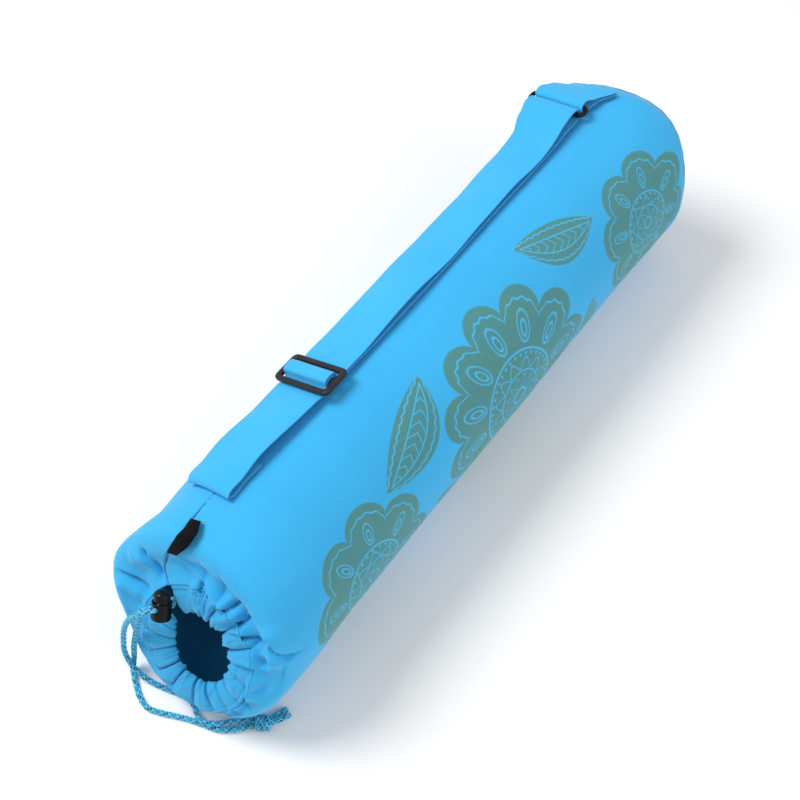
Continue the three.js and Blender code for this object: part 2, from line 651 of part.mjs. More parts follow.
// The seam line of the side panel runs under the label, over the shoulder to the mouth.
function makeLabel() {
  const sections = [...BODY_SECTIONS, ...FACE_SECTIONS];
  const normals = gridNormals(SKIN);
  const rows = SKIN.map((row, i) => {
    const place = AROUND + (sections[i].seam * AROUND) / 360;
    const column = Math.floor(place);
    const between = (list) => list[column].clone().lerp(list[column + 1], place - column);
    return { p: between(row), n: between(normals[i]) };
  }).filter(({ p }) => p.x < 0);
  const seam = new THREE.CatmullRomCurve3(rows.map(({ p }) => p), false, 'centripetal');
  const lifts = new THREE.CatmullRomCurve3(rows.map(({ n }) => n), false, 'centripetal');
  const total = seam.getLength();
  const from = (rows[0].p.x - LABEL_START) / total;
  const steps = 8;
  const rings = Array.from({ length: steps + 1 }, (_, i) => {
    const t = from + (i / steps) * (LABEL_LENGTH / total);
    const p = seam.getPointAt(t);
    const normal = lifts.getPoint(seam.getUtoTmapping(t)).normalize();
    const along = seam.getTangentAt(t);
    const sideways = new THREE.Vector3().crossVectors(along, normal).normalize();
    if (sideways.y > 0) {
      sideways.negate();
    }
    const lean = rad(LABEL_LEAN);
    const reach = sideways.clone().multiplyScalar(Math.cos(lean));
    reach.addScaledVector(normal, Math.sin(lean));
    const face = normal.clone().multiplyScalar(Math.cos(lean));
    face.addScaledVector(sideways, -Math.sin(lean));
    const place = (r, f) => p.clone().addScaledVector(reach, r).addScaledVector(face, f);
    const low = FIT_GAP * 3;
    return [
      place(0, low),
      place(LABEL_HEIGHT, low),
      place(LABEL_HEIGHT, low + LABEL_THICKNESS),
      place(0, low + LABEL_THICKNESS),
    ];
  });
  const cap = ([a, b, c, d]) => [[a, b, c], [a, c, d]];
  const start = cap(rings[0]).map(([a, b, c]) => [a, c, b]);
  const end = cap(rings[steps]);
  addMesh('label', bodyFrom([...quadRows(rings, true), ...start, ...end]), LABEL_BLACK);
}

// Directions and middle of the cord lock's slot. Its X is along the slot away from the bag,
// its Y across the two cords and its Z along the barrel to the button.
function lockFrame() {
  const swing = rad(LOCK_SWING);
  const lean = rad(LOCK_LEAN);
  const slot = FACE.out.clone().multiplyScalar(Math.cos(swing));
  slot.addScaledVector(FACE.side, -Math.sin(swing));
  const level = FACE.side.clone().multiplyScalar(Math.cos(swing));
  level.addScaledVector(FACE.out, Math.sin(swing));
  const barrel = FACE.up.clone().multiplyScalar(Math.cos(lean));
  barrel.addScaledVector(level, -Math.sin(lean));
  const across = new THREE.Vector3().crossVectors(barrel, slot);
  return new THREE.Matrix4().makeBasis(slot, across, barrel)
    .setPosition(facePoint(LOCK_SIDE, LOCK_UP, LOCK_OUT));
}

function solid(geometry) {
  const bare = geometry.clone();
  bare.deleteAttribute('normal');
  bare.deleteAttribute('uv');
  const merged = mergeVertices(bare, 1e-4);
  return new wasm.Manifold(new wasm.Mesh({
    numProp: 3,
    vertProperties: new Float32Array(merged.attributes.position.array),
    triVerts: new Uint32Array(merged.index.array),
  }));
}

function fromSolid(body) {
  const mesh = body.getMesh();
  const geometry = new THREE.BufferGeometry();
  geometry.setAttribute('position', new THREE.BufferAttribute(mesh.vertProperties, 3));
  geometry.setIndex(new THREE.BufferAttribute(mesh.triVerts, 1));
  return geometry;
}

// A turned body from its profile of [radius, height] points, both ends on the axis, along Z.
function turned(profile) {
  const points = profile.map(([radius, height]) => new THREE.Vector2(radius, height));
  return new THREE.LatheGeometry(points, LOCK_SIDES).rotateX(Math.PI / 2);
}

// A window through the lock along X, as wide as both cords.
function cordWindow(low, high) {
  const across = CORD_SPACING + CORD_DIAMETER + 2 * CORD_CLEARANCE;
  const cut = new THREE.BoxGeometry(LOCK_DIAMETER * 2, across, high - low);
  return solid(cut.translate(0, 0, (low + high) / 2));
}

function makeLock() {
  const frame = lockFrame();
  const radius = LOCK_DIAMETER / 2;
  const round = 1.2;
  const floor = -LOCK_SLOT_AT;
  const rim = floor + LOCK_BARREL;
  const bore = radius - LOCK_WALL;
  const half = CORD_DIAMETER / 2 + CORD_CLEARANCE;
  const barrel = solid(turned([
    [0, floor],
    [radius - round, floor],
    [radius - round * 0.3, floor + round * 0.3],
    [radius, floor + round],
    [radius, rim - round * 0.5],
    [radius - round * 0.4, rim],
    [bore, rim],
    [bore, floor + LOCK_FLOOR],
    [0, floor + LOCK_FLOOR],
  ]));
  const shell = fromSolid(barrel.subtract(cordWindow(-half, half)));
  const stem = bore - SLIDE_GAP;
  const foot = floor + LOCK_FLOOR + BUTTON_TRAVEL + SLIDE_GAP;
  const top = rim + BUTTON_RISE;
  const button = solid(turned([
    [0, foot],
    [stem, foot],
    [stem, rim + BUTTON_TRAVEL + SLIDE_GAP],
    [stem * 0.97, top - BUTTON_RISE * 0.36],
    [stem * 0.86, top - BUTTON_RISE * 0.17],
    [stem * 0.64, top - BUTTON_RISE * 0.06],
    [stem * 0.3, top],
    [0, top],
  ]));
  const slotted = fromSolid(button.subtract(cordWindow(-half, half + BUTTON_TRAVEL)));
  addMesh('cord_lock_body', shell, PLASTIC).applyMatrix4(frame);
  addMesh('cord_lock_button', slotted, PLASTIC).applyMatrix4(frame);
}

// Points that each cord follows, chosen by hand: out of its end of the casing, through the
// lock, down beside the mouth and over the floor to the knot.
const CORD_A_ROUTE = [
  [-284.0, 21.6, 102.6],
  [-286.6, 22.0, 100.2],
  [-292.4, 19.3, 102.2],
  [-305.4, 24.6, 110.1],
  [-311.6, 29.6, 110.2],
  [-316.8, 39.0, 98.0],
  [-321.0, 51.0, 68.0],
  [-324.6, 54.8, 44.0],
  [-329.0, 53.4, 24.0],
  [-331.2, 47.0, 13.2],
  [-331.4, 37.5, 6.0],
  [-330.4, 28.0, 2.6],
  [-327.6, 15.1, 2.1],
  [-324.2, 2.4, 2.1],
  [-322.6, -7.0, 2.1],
  [-324.6, -15.0, 2.3],
  [-329.2, -22.4, 4.6],
  [-330.4, -31.6, 6.9],
  [-323.0, -42.5, 5.6],
  [-312.4, -52.6, 4.4],
  [-304.1, -62.6, 5.0],
];
const CORD_B_ROUTE = [
  [-291.9, 32.4, 87.3],
  [-289.6, 30.6, 91.4],
  [-287.2, 26.4, 95.8],
  [-291.4, 23.4, 100.2],
  [-304.8, 28.7, 108.2],
  [-309.0, 33.4, 104.2],
  [-312.6, 39.6, 84.0],
  [-317.2, 44.6, 58.0],
  [-321.6, 48.2, 34.0],
  [-325.6, 49.4, 12.8],
  [-332.3, 46.4, 2.9],
  [-338.8, 37.9, 2.1],
  [-345.7, 26.5, 2.1],
  [-348.6, 14.8, 2.1],
  [-346.1, 6.0, 2.1],
  [-340.2, -7.4, 2.1],
  [-335.0, -20.0, 2.1],
  [-331.2, -32.0, 2.1],
  [-327.0, -44.5, 2.1],
  [-318.4, -55.4, 3.4],
  [-308.3, -65.0, 5.0],
];

// Both cords end in one overhand knot: a lump of turns and two short tails.
const KNOT_MIDDLE = new THREE.Vector3(-302.0, -70.5, 6.2);
const KNOT_HEADING = -60;
const KNOT_TAILS = [
  [[4, 1, 1], [11, 3, 1], [17, 8, -1], [20, 10, -2]],
  [[4, 3, -1], [8, 8, -2], [13, 12, -3], [17, 15, -3]],
];

function tube(points) {
  const curve = new THREE.CatmullRomCurve3(points, false, 'centripetal');
  const section = new THREE.Shape();
  for (let k = 0; k < TUBE_SIDES; k += 1) {
    const turn = ((k + 0.5) * 2 * Math.PI) / TUBE_SIDES;
    const x = Math.cos(turn) * (CORD_DIAMETER / 2);
    const y = Math.sin(turn) * (CORD_DIAMETER / 2);
    if (k === 0) {
      section.moveTo(x, y);
    } else {
      section.lineTo(x, y);
    }
  }
  return new THREE.ExtrudeGeometry(section, {
    steps: Math.max(Math.round(curve.getLength() / (CORD_DIAMETER * CORD_STEP)), 3),
    extrudePath: curve,
    bevelEnabled: false,
  });
}

function makeCord(name, route) {
  addMesh(name, tube(route.map((p) => new THREE.Vector3(...p))), CORD_BLUE);
}

function makeKnot() {
  const lump = new THREE.SphereGeometry(1, 12, 8);
  lump.rotateZ(Math.PI / 2);
  lump.scale(KNOT_LENGTH / 2, KNOT_DIAMETER / 2, KNOT_DIAMETER / 2);
  let knot = solid(lump);
  KNOT_TAILS.forEach((tail) => {
    knot = knot.add(solid(tube(tail.map((p) => new THREE.Vector3(...p)))));
  });
  const mesh = addMesh('cord_knot', fromSolid(knot), CORD_BLUE);
  mesh.position.copy(KNOT_MIDDLE);
  mesh.rotation.z = rad(KNOT_HEADING);
}

makeSidePanel();
makeEndPanel();
makeCasing();
makeStrap();
makeTab();
makeSlider();
makeRing();
makeLabel();
makeLock();
makeCord('cord_a', CORD_A_ROUTE);
makeCord('cord_b', CORD_B_ROUTE);
makeKnot();

export default part;
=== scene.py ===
import json
import math

import bpy
import numpy as np
from mathutils import Matrix, Vector

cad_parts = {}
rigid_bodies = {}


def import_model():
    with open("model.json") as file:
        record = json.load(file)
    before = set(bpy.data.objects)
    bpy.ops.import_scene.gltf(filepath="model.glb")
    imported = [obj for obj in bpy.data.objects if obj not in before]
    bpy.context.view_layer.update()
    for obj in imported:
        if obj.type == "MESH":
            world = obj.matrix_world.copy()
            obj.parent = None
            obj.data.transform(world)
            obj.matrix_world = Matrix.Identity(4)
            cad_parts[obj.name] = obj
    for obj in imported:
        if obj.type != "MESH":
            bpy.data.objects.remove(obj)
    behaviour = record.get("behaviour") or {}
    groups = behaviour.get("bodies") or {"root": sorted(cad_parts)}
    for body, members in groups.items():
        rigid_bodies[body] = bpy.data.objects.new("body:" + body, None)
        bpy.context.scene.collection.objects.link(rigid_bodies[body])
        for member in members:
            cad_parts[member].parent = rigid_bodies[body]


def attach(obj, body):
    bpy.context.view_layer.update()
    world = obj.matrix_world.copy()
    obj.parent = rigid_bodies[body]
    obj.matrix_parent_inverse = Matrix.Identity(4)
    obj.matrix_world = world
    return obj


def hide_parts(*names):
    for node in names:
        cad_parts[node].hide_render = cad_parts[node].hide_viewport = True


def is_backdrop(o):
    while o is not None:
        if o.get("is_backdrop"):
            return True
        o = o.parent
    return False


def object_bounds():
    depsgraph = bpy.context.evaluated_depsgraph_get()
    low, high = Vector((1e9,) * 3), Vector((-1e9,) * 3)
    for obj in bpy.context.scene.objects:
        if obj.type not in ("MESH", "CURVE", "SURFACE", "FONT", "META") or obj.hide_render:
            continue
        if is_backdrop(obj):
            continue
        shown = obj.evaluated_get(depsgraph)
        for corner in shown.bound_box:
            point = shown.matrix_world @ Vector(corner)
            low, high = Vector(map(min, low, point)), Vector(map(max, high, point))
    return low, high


# Looks of the yoga mat bag: gathered cloth, strap, braided cords, plastic fittings. Metres,
# unless a comment says otherwise.

for item in list(bpy.data.objects):
    bpy.data.objects.remove(item)
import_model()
cad_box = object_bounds()
scene = bpy.context.scene


# Camera at the photograph's angle

CAMERA_AT = (-0.5034, -0.3608, 1.0431)
CAMERA_AIM = (-0.0270, -0.0024, 0.0850)
CAMERA_LENS = 58.5


def place_object(name, data, place, aim):
    made = bpy.data.objects.new(name, data)
    scene.collection.objects.link(made)
    made.location = place
    made.rotation_euler = (Vector(aim) - Vector(place)).to_track_quat("-Z", "Y").to_euler()
    return made


def make_camera():
    data = bpy.data.cameras.new("camera")
    data.lens = CAMERA_LENS
    data.sensor_width = 36
    data.clip_start = 0.05
    scene.camera = place_object("camera", data, CAMERA_AT, CAMERA_AIM)


make_camera()


# Driving sizes, as in the solids

BAG_LENGTH = 0.660
RADIUS = 0.085
AXIS_HEIGHT = 0.082
CLOTH = 0.0015
FIT_GAP = 0.0003
END_DOME = 0.009
FACE_TILT = 30
FACE_RISE = 0.009
MOUTH_SIDE = 0.010
MOUTH_UP = -0.013
MOUTH_RADIUS = 0.035
CASING_WIDTH = 0.020
CASING_THICKNESS = 0.0075
CASING_RADIUS = MOUTH_RADIUS + CASING_WIDTH / 2
CASING_GAP_MIDDLE = -58
CASING_GAP_WIDTH = 0.023
SEAM_RADIUS = MOUTH_RADIUS + CASING_WIDTH + FIT_GAP
GATHERS = 18
GATHER_DEPTH = 0.0026
SCALLOP_DEPTH = 0.0016
STRAP_WIDTH = 0.050
STRAP_THICKNESS = 0.0018
CORD_DIAMETER = 0.004
LABEL_LENGTH = 0.036
LABEL_HEIGHT = 0.0105
LABEL_START = -0.2435

# Sections of the side panel from the closed end to the shoulder of the mouth end, as
# (place, tilt, wide, high): a share of the length, degrees and shares of the radius.
BODY_SECTIONS = [
    (0.4920, 0, 0.975, 0.975),
    (0.4820, 0, 1.000, 0.995),
    (0.4400, 0, 1.005, 1.000),
    (0.3400, 0, 0.995, 0.990),
    (0.2200, 0, 1.000, 1.000),
    (0.0700, 0, 1.000, 0.995),
    (-0.1000, 0, 1.005, 1.000),
    (-0.2600, 1, 1.000, 1.000),
    (-0.3300, 6, 1.010, 1.000),
    (-0.3800, 13, 1.025, 1.010),
    (-0.4130, 20, 1.035, 1.010),
    (-0.4280, 23, 1.030, 1.000),
]
RIM = (-0.4335, 24, 1.01, 0.985)

# Sections of the gathered face, as (share of the way in, lift, gather).
FACE_SECTIONS = [
    (0.00, 0.25, 0.0),
    (0.14, 0.75, 0.1),
    (0.36, 1.00, 0.3),
    (0.60, 0.80, 0.6),
    (0.82, 0.75, 0.9),
    (1.00, 0.95, 1.0),
]

# Folds of the face, as (around, spread, inward, width, depth).
FACE_FOLDS = [
    (-20, 22, 0.62, 0.16, 0.45),
    (25, 22, 0.72, 0.16, 0.55),
    (62, 18, 0.70, 0.18, 0.60),
    (84, 10, 0.25, 0.25, 0.90),
    (-70, 10, 0.45, 0.25, 0.50),
    (-100, 12, 0.40, 0.25, -0.35),
    (152, 7, 0.50, 0.45, 0.60),
]

# Broad dents of the side panel, as (place, around, long, spread, depth).
DENTS = [
    (0.45, 62, 0.05, 22, 0.030),
    (0.37, -62, 0.06, 20, 0.025),
    (0.23, 96, 0.07, 18, 0.022),
    (0.06, -75, 0.07, 20, 0.020),
    (-0.11, 88, 0.06, 20, 0.025),
    (-0.29, 55, 0.05, 24, 0.025),
    (-0.37, -62, 0.03, 14, 0.045),
    (-0.39, 14, 0.02, 20, 0.035),
    (-0.44, 84, 0.025, 11, 0.060),
    (-0.44, 152, 0.03, 8, 0.040),
    (-0.44, -88, 0.03, 13, -0.065),
    (-0.44, -124, 0.04, 17, 0.090),
]

# Uneven bulges of the closed end along X, as (around, spread, push).
END_BULGES = [(30, 26, 0.012), (100, 30, -0.008), (-40, 20, 0.003)]
END_BULGE_LONG = 0.03

# Where the panel's long seam crosses each section, in degrees from the top towards -Y.
SEAM_LINE = [-22] * 12 + [-23, -26, -33, -43, -49, -47]


def turned(degrees, middle):
    return (degrees - middle + 540) % 360 - 180


def face_axes(tilt):
    t = math.radians(tilt)
    side = np.array([0.0, -1.0, 0.0])
    up = np.array([math.sin(t), 0.0, math.cos(t)])
    out = np.array([-math.cos(t), 0.0, math.sin(t)])
    return side, up, out


FACE_SIDE, FACE_UP, FACE_OUT = face_axes(FACE_TILT)
FACE_MIDDLE = np.array([RIM[0] * BAG_LENGTH, 0.0, AXIS_HEIGHT])


def face_point(side, up, out):
    side, up, out = np.broadcast_arrays(side, up, out)
    return (
        FACE_MIDDLE
        + side[..., None] * FACE_SIDE
        + up[..., None] * FACE_UP
        + out[..., None] * FACE_OUT
    )


def pleat(angle, inwards=0.0):
    """Round ridges with sharp valleys between them, from -1 to 1, uneven round the mouth."""
    phase = GATHERS * angle + 0.7 * np.sin(3 * angle) + 0.8 * np.sin(5 * angle + 1.0)
    phase = phase + inwards * (1.1 * np.sin(4 * angle + 0.5) + 0.6 * np.sin(9 * angle))
    lump = 2 * np.abs(np.cos(phase / 2)) ** 0.62 - 1
    uneven = 1 + 0.28 * np.sin(2 * angle + 1) + 0.22 * np.sin(7 * angle + 2)
    flat = 1 - 0.75 * bell(turned(np.degrees(angle), -24) / 17)
    return lump * uneven * flat / 1.3


def end_push(at, degrees):
    along = ((BODY_SECTIONS[0][0] - at) / END_BULGE_LONG) ** 2
    push = np.zeros_like(degrees)
    for around, spread, most in END_BULGES:
        push = push + most * np.exp(-(along + (turned(degrees, around) / spread) ** 2) / 2)
    return push


def body_ring(row, degrees):
    at, tilt, wide, high = row
    side, up, out = face_axes(tilt)
    dent = np.zeros_like(degrees)
    for place, around, long, spread, depth in DENTS:
        reach = ((at - place) / long) ** 2 + (turned(degrees, around) / spread) ** 2
        dent += depth * np.exp(-reach / 2)
    angle = np.radians(degrees)
    sideways = wide * RADIUS * (1 - dent) * np.sin(angle)
    upwards = high * RADIUS * (1 - dent) * np.cos(angle)
    points = np.array([at * BAG_LENGTH, 0.0, AXIS_HEIGHT]) + sideways[:, None] * side
    points = points + upwards[:, None] * up
    points[:, 0] += end_push(at, degrees)
    points[:, 2] = np.maximum(points[:, 2], 0)
    return points


def face_ring(row, degrees):
    inward, lift, gather = row
    rim = body_ring(RIM, degrees)
    angle = np.radians(degrees)
    side = MOUTH_SIDE + SEAM_RADIUS * np.sin(angle)
    up = MOUTH_UP + SEAM_RADIUS * np.cos(angle)
    points = rim + (face_point(side, up, 0.0) - rim) * inward
    fold = np.zeros_like(degrees)
    for around, spread, middle, width, depth in FACE_FOLDS:
        reach = (turned(degrees, around) / spread) ** 2 + ((inward - middle) / width) ** 2
        fold += depth * FACE_RISE * np.exp(-reach / 2)
    raised = lift * FACE_RISE + gather * GATHER_DEPTH * pleat(angle) - fold * (1 - inward**6)
    raised = raised + 0.0016 * inward**8
    points = points + raised[:, None] * FACE_OUT
    points[:, 2] = np.maximum(points[:, 2], 0)
    return points


def spline_rows(rows, at):
    """Rows of points between the given ones, on smooth curves. at holds row numbers."""
    rows = np.asarray(rows)
    steps = np.linalg.norm(np.diff(rows, axis=0), axis=2).mean(axis=1)
    knots = np.concatenate([[0.0], np.cumsum(steps)])
    slope = np.diff(rows, axis=0) / steps[:, None, None]
    tangent = np.empty_like(rows)
    tangent[0] = slope[0]
    tangent[-1] = slope[-1]
    before = steps[:-1, None, None]
    after = steps[1:, None, None]
    tangent[1:-1] = (slope[:-1] * after + slope[1:] * before) / (before + after)
    at = np.asarray(at, float)
    low = np.clip(np.floor(at).astype(int), 0, len(rows) - 2)
    t = (at - low)[:, None, None]
    step = (knots[low + 1] - knots[low])[:, None, None]
    return (
        (2 * t**3 - 3 * t**2 + 1) * rows[low]
        + (t**3 - 2 * t**2 + t) * step * tangent[low]
        + (-2 * t**3 + 3 * t**2) * rows[low + 1]
        + (t**3 - t**2) * step * tangent[low + 1]
    )


def skin_rows(degrees):
    body = [body_ring(row, degrees) for row in BODY_SECTIONS]
    return np.array(body + [face_ring(row, degrees) for row in FACE_SECTIONS])


# Making meshes


def bell(x):
    return np.exp(-(x**2))


def normalized(vectors):
    return vectors / np.maximum(np.linalg.norm(vectors, axis=-1, keepdims=True), 1e-12)


def add_mesh(name, points, faces, materials, uv=None, slots=None, smooth=True):
    """uv holds one pair for each corner of each face, slots one material number a face."""
    mesh = bpy.data.meshes.new(name)
    mesh.from_pydata(np.asarray(points).tolist(), [], [list(f) for f in faces])
    for material in materials:
        mesh.materials.append(material)
    if uv is not None:
        layer = mesh.uv_layers.new(name="cloth")
        layer.data.foreach_set("uv", np.asarray(uv, np.float32).ravel())
    if slots is not None:
        mesh.polygons.foreach_set("material_index", np.asarray(slots, np.int32))
    mesh.polygons.foreach_set("use_smooth", np.full(len(mesh.polygons), smooth))
    mesh.update()
    piece = bpy.data.objects.new(name, mesh)
    scene.collection.objects.link(piece)
    return piece


def declare(piece, node=None, body="root"):
    """Say which body a piece rides and which solid it replaces."""
    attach(piece, body)
    if node:
        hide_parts(node)


def grid_faces(rows, columns, start=0, flip=False):
    """Faces between rings of points, one ring a row."""
    i = np.arange(rows - 1)[:, None] * columns
    j = np.arange(columns)[None, :]
    k = (j + 1) % columns
    quads = np.stack([i + j, i + k, i + columns + k, i + columns + j], axis=-1).reshape(-1, 4)
    return (quads[:, ::-1] if flip else quads) + start


def grid_uv(u, v, flip=False):
    """Corner coordinates of grid_faces. u and v have one column more than the grid."""
    grid = np.stack([u, v], axis=-1)
    corners = [grid[:-1, :-1], grid[:-1, 1:], grid[1:, 1:], grid[1:, :-1]]
    corners = np.stack(corners, axis=2).reshape(-1, 4, 2)
    return corners[:, ::-1] if flip else corners


def tube_faces(rows, count):
    """Faces between rings of points, with a flat cap on each end."""
    caps = [list(range(count))[::-1], list(range((rows - 1) * count, rows * count))]
    return grid_faces(rows, count).tolist() + caps


def ring_strip(a, b, count):
    """Faces between the rings that start at points a and b."""
    j = np.arange(count)
    k = (j + 1) % count
    return np.stack([a + j, b + j, b + k, a + k], axis=1)


def two_walls(outer, inner, u, v, kept, hem_order=1):
    """Points, faces and corner coordinates of an outer and an inner wall, joined by their hems,
    and the number of outer faces. kept picks the rows of the inner wall out of the outer's."""
    count = outer.shape[1]
    start = len(outer) * count
    end = start + (len(inner) - 1) * count
    front = grid_faces(len(outer), count)
    back = grid_faces(len(inner), count, start, flip=True)
    far_hem = ring_strip(start - count, end, count)[:, ::-1]
    hems = np.concatenate([ring_strip(0, start, count), far_hem])
    uv = [grid_uv(u, v), grid_uv(u[kept], v[kept], flip=True), np.zeros((len(hems), 4, 2))]
    points = np.concatenate([outer.reshape(-1, 3), inner.reshape(-1, 3)])
    faces = np.concatenate([front, back, hems[:, ::hem_order]])
    return points, faces, np.concatenate(uv), len(front)


def row_normals(rows):
    along = np.gradient(rows, axis=0)
    around = np.roll(rows, -1, axis=1) - np.roll(rows, 1, axis=1)
    return normalized(np.cross(along, around))


def step_lengths(points):
    return np.linalg.norm(np.diff(points, axis=0), axis=-1)


def path_length(points):
    return float(step_lengths(points).sum())


def lengths_along(points):
    """Length of a path from its start to each of its points."""
    return np.concatenate([[0], np.cumsum(step_lengths(points))])


def values_at(places, lengths, values):
    """Rows of values between those given at the lengths."""
    return np.stack([np.interp(places, lengths, column) for column in values.T], axis=1)


def curve_through(points, count):
    """Evenly spaced points on a smooth curve through the given ones."""
    points = np.asarray(points, float)
    fine = spline_rows(points[:, None, :], np.linspace(0, len(points) - 1, 40 * len(points)))[:, 0]
    lengths = lengths_along(fine)
    return values_at(np.linspace(0, lengths[-1], count), lengths, fine)


def path_frames(points):
    """Two directions square to the path at each point, turned as little as they can be."""
    tangents = normalized(np.gradient(points, axis=0))
    last = np.array([0.0, 0.0, 1.0])
    if abs(tangents[0] @ last) > 0.9:
        last = np.array([1.0, 0.0, 0.0])
    first = np.empty_like(points)
    for i, tangent in enumerate(tangents):
        last = last - (last @ tangent) * tangent
        last = last / np.linalg.norm(last)
        first[i] = last
    return first, np.cross(tangents, first)


def tube_mesh(points, radius, sides):
    """Points and faces of a closed tube along a path. radius is a number or one a point."""
    points = np.asarray(points, float)
    first, second = path_frames(points)
    radius = np.broadcast_to(radius, len(points))[:, None, None]
    turn = np.linspace(0, 2 * math.pi, sides, endpoint=False)[None, :, None]
    ring = np.cos(turn) * first[:, None] + np.sin(turn) * second[:, None]
    return (points[:, None] + radius * ring).reshape(-1, 3), tube_faces(len(points), sides)


def joined(meshes):
    """One list of points and faces from several, and for each face the number of its mesh."""
    faces, slots, start = [], [], 0
    for number, (vertices, polygons) in enumerate(meshes):
        faces.extend([int(i) + start for i in f] for f in polygons)
        slots.extend([number] * len(polygons))
        start += len(vertices)
    return np.concatenate([vertices for vertices, _ in meshes]), faces, np.array(slots)


# Colours and materials

CLOTH_LIT = (0.040, 0.42, 0.78)
CLOTH_DEEP = (0.034, 0.37, 0.71)
SHEEN_BLUE = (0.55, 0.85, 1.0)
PRINT_OLIVE = (0.085, 0.225, 0.155)
PRINT_TEAL = (0.06, 0.22, 0.22)
PRINT_LINE = (0.06, 0.45, 0.80)
CORD_LIGHT = (0.11, 0.66, 0.90)
CORD_MID = (0.035, 0.40, 0.68)
# Dark thread of one strand; on the core the same colour is painted shade in the gaps between the
# strands.
CORD_DARK_AND_GAP_SHADE = (0.004, 0.085, 0.26)
PLASTIC_BLACK = (0.0045, 0.0045, 0.005)
PLASTIC_GREY = (0.018, 0.017, 0.021)
LABEL_BLACK = (0.003, 0.003, 0.0045)
THREAD_BLUE = (0.09, 0.50, 0.88)
# Painted shade: dark blue of the tube in the seam's groove and of the strap's edge faces, standing
# in for the shadow there.
PAINTED_SHADE_BLUE = (0.004, 0.13, 0.36)
FLOOR_WHITE = (0.88, 0.88, 0.885)
WEAVE_STEP = 0.0007
STRAP_WEAVE_STEP = 0.0008
LABEL_WEAVE_STEP = 0.00035


class Value:
    """A value in a node tree. Its sums and products add the nodes that work them out."""

    def __init__(self, nodes, socket):
        self.nodes = nodes
        self.socket = socket

    def math(self, operation, *others, clamp=False):
        return self.nodes.math(operation, self, *others, clamp=clamp)

    def __add__(self, other):
        return self.math("ADD", other)

    def __sub__(self, other):
        return self.math("SUBTRACT", other)

    def __rsub__(self, other):
        return self.nodes.math("SUBTRACT", other, self)

    def __mul__(self, other):
        return self.math("MULTIPLY", other)

    def __truediv__(self, other):
        return self.math("DIVIDE", other)

    def __abs__(self):
        return self.math("ABSOLUTE")

    def cosine(self):
        return self.math("COSINE")

    def root(self):
        return self.math("SQRT")

    def fraction(self):
        return self.math("FRACT")

    def scaled(self, factor, more, clamp=False):
        return self.math("MULTIPLY_ADD", factor, more, clamp=clamp)

    def between(self, low, high, soft):
        """1 where the value lies between low and high, with soft edges."""
        inside = (self - low).math("MINIMUM", high - self)
        return inside.scaled(1 / soft, 0.5, clamp=True)

    def other(self, output):
        """Another output of the same node."""
        return Value(self.nodes, self.socket.node.outputs[output])


class Nodes:
    """Short calls that add nodes to one tree, fill their inputs and give one output."""

    def __init__(self, tree):
        self.tree = tree

    def put(self, socket, value):
        if isinstance(value, Value):
            self.tree.links.new(value.socket, socket)
        else:
            is_colour = isinstance(value, tuple)
            socket.default_value = (*value, 1.0) if is_colour else value

    def made(self, kind, output, inputs, **settings):
        node = self.tree.nodes.new(kind)
        for key, value in settings.items():
            setattr(node, key, value)
        for key, value in inputs.items():
            self.put(node.inputs[key], value)
        return Value(self, node.outputs[output])

    def math(self, operation, *values, clamp=False):
        inputs = dict(enumerate(values))
        return self.made("ShaderNodeMath", 0, inputs, operation=operation, use_clamp=clamp)

    def mix(self, share, a, b, blend="MIX"):
        inputs = {0: share, 6: a, 7: b}
        return self.made("ShaderNodeMix", 2, inputs, data_type="RGBA", blend_type=blend)

    def place(self):
        return self.made("ShaderNodeTexCoord", "Object", {})

    def noise(self, place, scale, detail=2.0, roughness=0.5):
        inputs = {"Vector": place, "Scale": scale, "Detail": detail, "Roughness": roughness}
        return self.made("ShaderNodeTexNoise", "Fac", inputs)

    def cloth_axes(self):
        where = self.made("ShaderNodeUVMap", 0, {}, uv_map="cloth")
        across = self.made("ShaderNodeSeparateXYZ", 0, {0: where})
        return across, across.other(1)


class Material(Nodes):
    """A new material. inputs are the shader's, with _ for each space of their names."""

    def __init__(self, name, **inputs):
        self.data = bpy.data.materials.new(name)
        self.data.use_nodes = True
        super().__init__(self.data.node_tree)
        for key, value in inputs.items():
            self.set(key.replace("_", " "), value)

    def set(self, name, value):
        self.put(self.tree.nodes["Principled BSDF"].inputs[name], value)

    def bump(self, height, strength, distance):
        inputs = {"Strength": strength, "Distance": distance, "Height": height}
        self.set("Normal", self.made("ShaderNodeBump", 0, inputs))


def shade_of(colour, factor):
    return tuple(c * factor for c in colour)


def weave_height(u, v, step):
    """Threads over and under each other, from cloth coordinates in metres."""
    turns = math.pi / step
    return (u * turns).math("SINE") * (v * turns).math("SINE")


def cloth_material(name, step=WEAVE_STEP, printed=False, tint=1.0):
    m = Material(
        name, Roughness=0.86, Sheen_Weight=0.35, Sheen_Roughness=0.45, Sheen_Tint=SHEEN_BLUE,
        Specular_IOR_Level=0.25,
    )
    u, v = m.cloth_axes()
    where = m.place()
    fine = m.noise(where, 420.0, 3.0, 0.7)
    share = m.noise(where, 9.0).scaled(1.6, -0.3, clamp=True)
    colour = m.mix(share, shade_of(CLOTH_LIT, tint), shade_of(CLOTH_DEEP, tint))
    height = fine.scaled(0.8, weave_height(u, v, step))
    if printed:
        colour = flower_print(m, u, v, colour, fine)
    # Painted shade in the weave: the colour is darkened where the threads dip and lightened a
    # little where they rise.
    shade = height.scaled(0.045, 0.955)
    weave_shade_colour = m.made("ShaderNodeCombineXYZ", 0, {0: shade, 1: shade, 2: shade})
    m.set("Base Color", m.mix(1.0, colour, weave_shade_colour, "MULTIPLY"))
    m.bump(height, 0.35, 0.00012)
    return m.data


